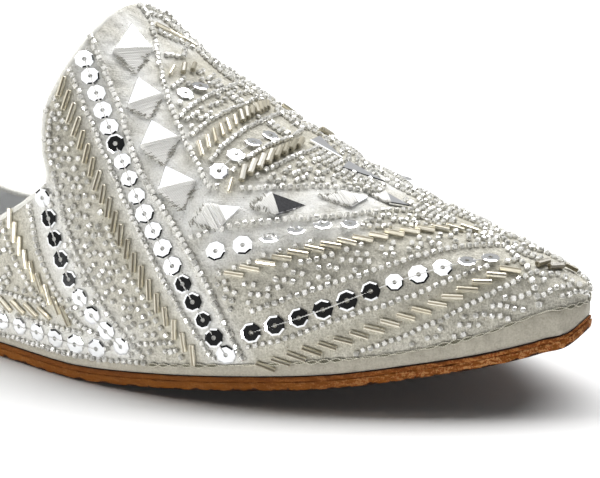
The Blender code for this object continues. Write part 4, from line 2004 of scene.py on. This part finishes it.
    def build(self) -> None:
        """Makes the mirrors with their threads, the beads, and the line over the band."""
        for mirror in (*MIRRORS, *FAR_MIRRORS):
            points, _ = self.corners(mirror, self.guard_lift)
            weights = self.random.dirichlet([1.0, 1.0, 1.0], self.guards)
            if mirror not in FAR_MIRRORS:
                self.near.take(weights @ points[1:], self.fan_room)
            for ground in (self.near, self.far):
                ground.take(weights @ points[:3], self.mirror_room)
        plates = [self.mirror_plate(mirror) for mirror in MIRRORS]
        far_plates = [flipped(plate) for plate in plates[COPIED]]
        far_plates += [self.mirror_plate(mirror) for mirror in FAR_MIRRORS]
        made = put(
            "mirrors", joined_shapes(plates + far_plates), self.mirror_glass.material(),
            smooth=False,
        )
        # Each mirror's tone is its painted reflection: bright, grey or black.
        reflection_paint = [mirror.reflection_paint for mirror in (*MIRRORS, *MIRRORS[COPIED], *FAR_MIRRORS)]
        carry(made, "tone", np.repeat(reflection_paint, len(plates[0].points)))
        for name, sew, finish in (
            ("mirror_threads", self.satin, self.satin_thread),
            ("mirror_stitches", self.edge_stitches, self.stitch_thread),
        ):
            sewn = [joined_shapes(sew(mirror)) for mirror in MIRRORS]
            copied = joined_shapes(sewn[COPIED])
            self.on_both_sides(name, joined_shapes(sewn), finish.material(), copied)
        self.build_beads()
        sides = (1.0, -1.0)
        loops = [self.band_thread(side * self.cord_swing, self.cord_radius) for side in sides]
        core = [
            self.band_thread(side * self.core_swing, self.core_radius, self.core_lift)
            for side in sides
        ]
        for name, strands, finish in (
            ("sequin_thread", self.sequin_thread(), self.satin_thread),
            ("band_cord", loops, self.cord_thread),
            ("band_cord_core", core, self.core_thread),
        ):
            self.on_both_sides(name, joined_shapes(strands), finish.material())

    def place_trim(
        self,
        name: str,
        template: Shape,
        near: Places,
        far: Places,
        material: bpy.types.Material,
    ) -> None:
        """Makes one piece of trim a side, with a tone for each copy and a mark along each copy's top where
        the bugles' finish paints a dark reflection.

        Args:
            name: What the trim is called.
            template: The shape that is repeated.
            near: Its places on the near side.
            far: Its places on the far side.
            material: Its finish.
        """
        for side, places in (("near", near), ("far", far)):
            count = len(places.centre)
            size = places.size * self.random.uniform(0.93, 1.07, count)
            made = put(
                f"{name}_{side}", repeated(template, places, size), material,
                smooth=False,
            )
            tone = self.random.uniform(0.0, 1.0, count)
            carry(made, "tone", np.repeat(tone, len(template.points)))
            # Painted reflection: the mark along each copy's top that the bugles' finish darkens.
            top = template.points[:, 2] / template.points[:, 2].max()
            carry(made, "painted_reflection_stripe", np.tile(np.clip(4.0 * top - 3.0, 0.0, 1.0), count))

    def on_both_sides(
        self,
        name: str,
        shape: Shape,
        material: bpy.types.Material,
        far_shape: Shape | None = None,
    ) -> None:
        """Makes a piece of a near-side shape and the mirror image of it or of a part of it.

        Args:
            name: What the piece is called.
            shape: The near side's shape.
            material: Its finish.
            far_shape: What is mirrored to the far side, if it isn't the whole shape.
        """
        mirrored = flipped(shape if far_shape is None else far_shape)
        put(name, joined_shapes([shape, mirrored]), material)


@dataclass(frozen=True)
class Insole:
    """The flat inner sole, kept as its solid."""

    finish: Lining = Lining("insole_lining", (0.34, 0.34, 0.35), (0.27, 0.27, 0.28), 0.65)

    def build(self) -> None:
        """Gives the solid its finish."""
        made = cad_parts["insole"]
        material = self.finish.material()
        made.data.materials.clear()
        made.data.materials.append(material)
        log.info("insole: finish only")


@dataclass(frozen=True)
class Studio:
    """Camera, floor and soft light."""

    azimuth: float = 27.0
    elevation: float = 17.0
    distance: float = 450.0
    aim: Triple = (55.7, 0.0, 25.9)
    focal_pixels: float = 1980.0
    frame_width: float = 600.0
    sensor: float = 36.0
    floor_half: float = 4000.0
    light_aim: Triple = (60.0, 0.0, 20.0)
    room_ramp: tuple = (("From Min", 0.05), ("From Max", 0.4), ("To Min", 0.02), ("To Max", 0.5))

    def build_camera(self) -> None:
        """The photograph's camera, aimed at the vamp."""
        turn, rise = math.radians(self.azimuth), math.radians(self.elevation)
        back = np.array(
            [math.sin(turn) * math.cos(rise), -math.cos(turn) * math.cos(rise), math.sin(rise)]
        )
        data = bpy.data.cameras.new("camera")
        data.sensor_fit = "HORIZONTAL"
        data.sensor_width = self.sensor
        data.lens = self.focal_pixels * self.sensor / self.frame_width
        data.clip_start, data.clip_end = 0.01, 50.0
        made = linked("camera", data)
        made.location = (np.array(self.aim) + self.distance * back) * MM
        made.rotation_euler = (HALF_PI - rise, 0.0, turn)
        bpy.context.scene.camera = made

    def build_floor(self) -> None:
        """A wide plain floor at height 0."""
        half = self.floor_half * MM
        mesh = bpy.data.meshes.new("studio_floor")
        corners = [(-half, -half, 0.0), (half, -half, 0.0), (half, half, 0.0), (-half, half, 0.0)]
        mesh.from_pydata(corners, [], [(0, 1, 2, 3)])
        mesh.materials.append(Floor().material())
        made = linked("studio_floor", mesh)

    def softbox(
        self, name: str, place: Triple, size: tuple[float, float], power: float,
        facing: Triple | None = None,
    ) -> bpy.types.Object:
        """An area light.

        Args:
            name: Its name.
            place: Where it stands, in millimetres.
            size: Its width and height, in millimetres.
            power: Its power in watts.
            facing: Its turn about z, then x, then its own axis, in degrees. Without it the
                light points at the shoe.

        Returns:
            The light.
        """
        data = bpy.data.lights.new(name, "AREA")
        data.shape = "RECTANGLE"
        data.size, data.size_y = size[0] * MM, size[1] * MM
        data.energy = power
        made = linked(name, data)
        made.location = np.array(place) * MM
        if facing is None:
            away = np.array(place) - np.array(self.light_aim)
            tilt = math.degrees(math.atan2(math.hypot(away[0], away[1]), away[2]))
            facing = (math.degrees(math.atan2(away[0], -away[1])), tilt, 0.0)
        turn, lean, roll = (math.radians(angle) for angle in facing)
        first = Matrix.Rotation(turn, 3, "Z") @ Matrix.Rotation(lean, 3, "X")
        made.rotation_euler = (first @ Matrix.Rotation(roll, 3, "Z")).to_euler()
        return made

    def build_light(self) -> None:
        """Makes the lights and the room.

        A long key stands over the back and a low strip in front, and only reflections show the
        card. The room is white to the camera, and otherwise dim in front and grey behind.
        """
        self.softbox("key_strip", (-115.0, 350.0, 866.0), (1900.0, 470.0), power=19.5)
        self.softbox("front_strip", (-190.0, -880.0, 24.0), (1100.0, 36.0), power=5.1)
        card = self.softbox(
            "front_card", (-444.0, -162.0, 704.0), (1767.0, 1500.0), power=11.8,
            facing=(-5.0, 28.0, 38.9),
        )
        card.visible_diffuse = False
        world = bpy.data.worlds.new("studio_room")
        world.use_nodes = True
        tree = world.node_tree
        background = tree.nodes["Background"]
        seen = tree.nodes.new("ShaderNodeLightPath").outputs["Is Camera Ray"]
        split = tree.nodes.new("ShaderNodeSeparateXYZ")
        tree.links.new(tree.nodes.new("ShaderNodeTexCoord").outputs["Generated"], split.inputs[0])
        behind = tree.nodes.new("ShaderNodeMapRange")
        tree.links.new(split.outputs["Y"], behind.inputs["Value"])
        for name, value in self.room_ramp:
            behind.inputs[name].default_value = value
        strength = tree.nodes.new("ShaderNodeMix")
        tree.links.new(seen, strength.inputs[0])
        tree.links.new(behind.outputs[0], strength.inputs[2])
        strength.inputs[3].default_value = 1.0
        tree.links.new(strength.outputs[0], background.inputs["Strength"])
        background.inputs["Color"].default_value = (1.0, 1.0, 1.0, 1.0)
        bpy.context.scene.world = world
        bpy.context.scene.view_settings.view_transform = "Standard"

    def build(self) -> None:
        """Makes the studio."""
        self.build_camera()
        self.build_floor()
        self.build_light()


def corners(box: tuple) -> list[list[float]]:
    """A box's two corners as plain lists."""
    return [[float(value) for value in corner] for corner in box]


def main() -> None:
    """Builds the shoe piece by piece."""
    logging.basicConfig(level=logging.INFO, format="%(name)s: %(message)s")
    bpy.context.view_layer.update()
    Studio().build()
    log.info("studio ready")
    Sole().build()
    Insole().build()
    Upper().build()
    Embroidery().build()


if __name__ == "__main__":
    main()
